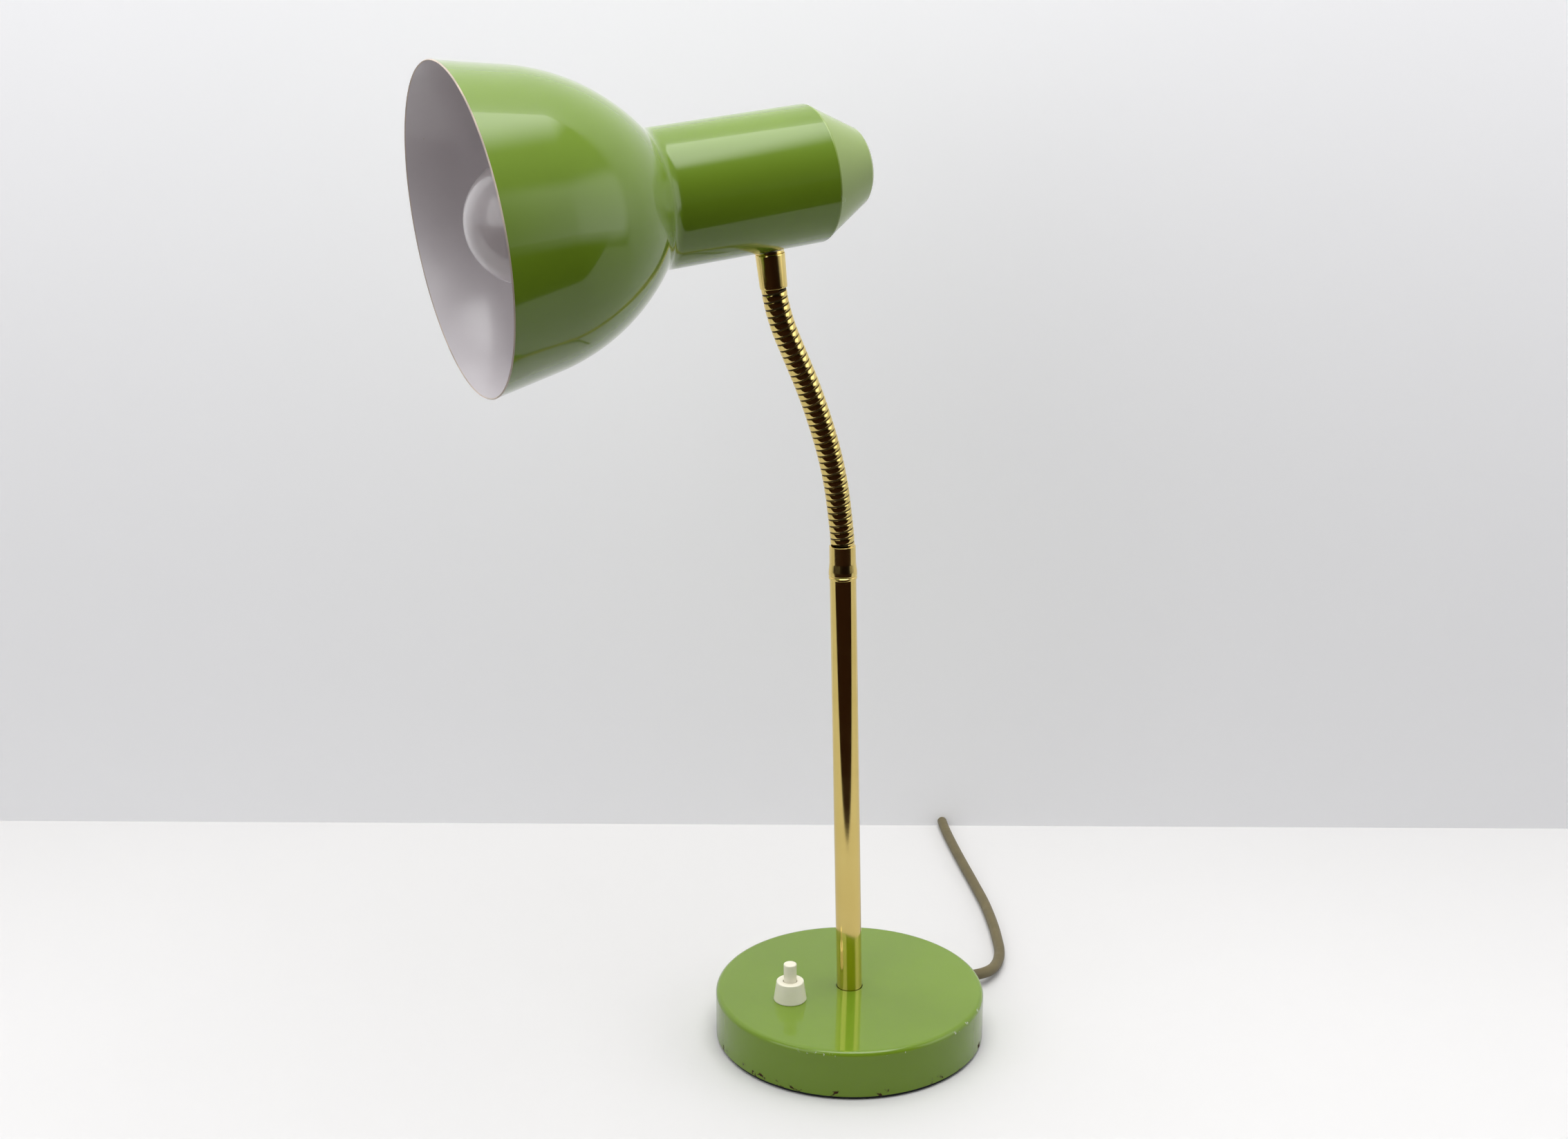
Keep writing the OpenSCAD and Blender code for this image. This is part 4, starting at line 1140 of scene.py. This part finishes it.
def stage_sheet(name, centre, across, up, material):
    """A flat sheet that isn't part of the object."""
    bm = bmesh.new()
    corners = [centre + across * a + up * b for a, b in ((-1, -1), (1, -1), (1, 1), (-1, 1))]
    bmesh.ops.contextual_create(bm, geom=[bm.verts.new(c) for c in corners])
    mesh = bpy.data.meshes.new(name)
    bm.to_mesh(mesh)
    bm.free()
    mesh.materials.append(material)
    sheet = bpy.data.objects.new(name, mesh)
    bpy.context.scene.collection.objects.link(sheet)
    return sheet


def see_through_from_behind(material):
    """The backdrop lets through light, and anyone who looks at its back."""
    tree = material.node_tree
    out = next(n for n in tree.nodes if n.type == "OUTPUT_MATERIAL")
    shader = next(n for n in tree.nodes if n.type == "BSDF_PRINCIPLED")
    clear = add(tree, "ShaderNodeBsdfTransparent")
    behind = add(tree, "ShaderNodeNewGeometry").outputs["Backfacing"]
    shadow = add(tree, "ShaderNodeLightPath").outputs["Is Shadow Ray"]
    mix = tree.nodes.new("ShaderNodeMixShader")
    tree.links.new(maths(tree, "MAXIMUM", behind, shadow), mix.inputs[0])
    tree.links.new(shader.outputs[0], mix.inputs[1])
    tree.links.new(clear.outputs[0], mix.inputs[2])
    tree.links.new(mix.outputs[0], out.inputs["Surface"])


def painted_skylight_glow(material):
    """Painted light: the backdrop glows a little more with height, standing in for a skylight above the wall.
    """
    tree = material.node_tree
    shader = next(n for n in tree.nodes if n.type == "BSDF_PRINCIPLED")
    position = add(tree, "ShaderNodeNewGeometry").outputs["Position"]
    where = add(tree, "ShaderNodeSeparateXYZ", Vector=position)
    height = add(tree, "ShaderNodeMapRange", {"interpolation_type": "SMOOTHSTEP"}, Value=where.outputs["Z"],
                 i1=0.05, i2=0.75, i3=0.06, i4=0.34)
    shader.inputs["Emission Color"].default_value = (0.97, 0.97, 1.0, 1)
    tree.links.new(height.outputs[0], shader.inputs["Emission Strength"])


def end_table_towards_camera(material):
    """Past the near edge of the table, the floor is dark in reflections and sends back no light."""
    tree = material.node_tree
    out = next(n for n in tree.nodes if n.type == "OUTPUT_MATERIAL")
    shader = next(n for n in tree.nodes if n.type == "BSDF_PRINCIPLED")
    where = add(tree, "ShaderNodeNewGeometry").outputs["Position"]
    near = add(tree, "ShaderNodeVectorMath", {"operation": "DOT_PRODUCT"}, i0=where,
               i1=TOWARDS_CAMERA).outputs["Value"]
    past_edge = add(tree, "ShaderNodeMapRange", {"interpolation_type": "SMOOTHSTEP"}, Value=near,
                    i1=TABLE_EDGE, i2=TABLE_EDGE_END)
    seen = add(tree, "ShaderNodeLightPath").outputs["Is Camera Ray"]
    dark = add(tree, "ShaderNodeBsdfDiffuse")
    dark.inputs["Color"].default_value = (0.016, 0.007, 0.005, 1)
    mix = tree.nodes.new("ShaderNodeMixShader")
    # Everywhere on the floor, reflections and bounce light are also dimmed by at least 0.3: painted shade on
    # the lamp's lower parts.
    dimmed = maths(tree, "MAXIMUM", past_edge.outputs[0], 0.3)
    tree.links.new(maths(tree, "MULTIPLY", dimmed, maths(tree, "SUBTRACT", 1.0, seen)), mix.inputs[0])
    tree.links.new(shader.outputs[0], mix.inputs[1])
    tree.links.new(dark.outputs[0], mix.inputs[2])
    tree.links.new(mix.outputs[0], out.inputs["Surface"])


def make_stage():
    floor = plain_finish("floor", (0.74, 0.73, 0.72), 0.6)
    end_table_towards_camera(floor)
    stage_sheet("floor", Z * -0.2 * MM, X * 6, Y * 6, floor)
    wall = plain_finish("backdrop", (0.93, 0.93, 0.945), 0.9)
    painted_skylight_glow(wall)
    see_through_from_behind(wall)
    along = Z.cross(WALL_AWAY)
    stage_sheet("backdrop", WALL_AWAY * WALL_DISTANCE + Z * 1.5, along * 3, Z * 1.502, wall)


def soft_light(name, at, aim, size, power):
    """A large window-like light whose edges fade out."""
    data = bpy.data.lights.new(name, "AREA")
    data.shape = "RECTANGLE"
    data.size, data.size_y = size
    data.energy = power
    data.use_nodes = True
    tree = data.node_tree
    emission = next(n for n in tree.nodes if n.type == "EMISSION")
    spot = add(tree, "ShaderNodeNewGeometry").outputs["Parametric"]
    where = add(tree, "ShaderNodeSeparateXYZ", Vector=spot)
    fade = None
    for axis in ("X", "Y"):
        off = maths(tree, "ABSOLUTE", maths(tree, "SUBTRACT", where.outputs[axis], 0.5))
        soft = add(tree, "ShaderNodeMapRange", {"interpolation_type": "SMOOTHSTEP"}, Value=off,
                   i1=0.5, i2=0.28, i3=0.0, i4=1.0).outputs[0]
        fade = soft if fade is None else maths(tree, "MULTIPLY", fade, soft)
    tree.links.new(fade, emission.inputs["Strength"])
    light = bpy.data.objects.new(name, data)
    bpy.context.scene.collection.objects.link(light)
    light.location = at
    light.rotation_mode = "QUATERNION"
    light.rotation_quaternion = (Vector(aim) - Vector(at)).to_track_quat("-Z", "Y")
    return light


def make_light():
    world = bpy.data.worlds.new("studio")
    world.use_nodes = True
    tree = world.node_tree
    ahead = add(tree, "ShaderNodeTexCoord").outputs["Generated"]
    towards_camera = add(tree, "ShaderNodeVectorMath", {"operation": "DOT_PRODUCT"}, i0=ahead,
                         i1=(0.87, -0.41, 0.05)).outputs["Value"]
    room = add(tree, "ShaderNodeMapRange", {"interpolation_type": "SMOOTHSTEP"}, Value=towards_camera,
               i1=0.2, i2=0.75, i3=1.0, i4=0.012)
    ground = tree.nodes["Background"]
    ground.inputs[0].default_value = (0.93, 0.95, 1.0, 1)
    tree.links.new(maths(tree, "MULTIPLY", room.outputs[0], 0.5), ground.inputs[1])
    bpy.context.scene.world = world
    middle = (0, -0.05, 0.25)
    soft_light("window_left", (0.5, -1.5, 0.85), middle, (1.7, 1.5), 12.5)
    soft_light("window_right", (1.0, 1.3, 0.75), middle, (1.5, 1.5), 8.5)
    soft_light("overhead", (0.15, -0.1, 1.9), middle, (2.0, 2.0), 52)


make_stage()
make_light()
bpy.context.scene.view_settings.view_transform = "Standard"
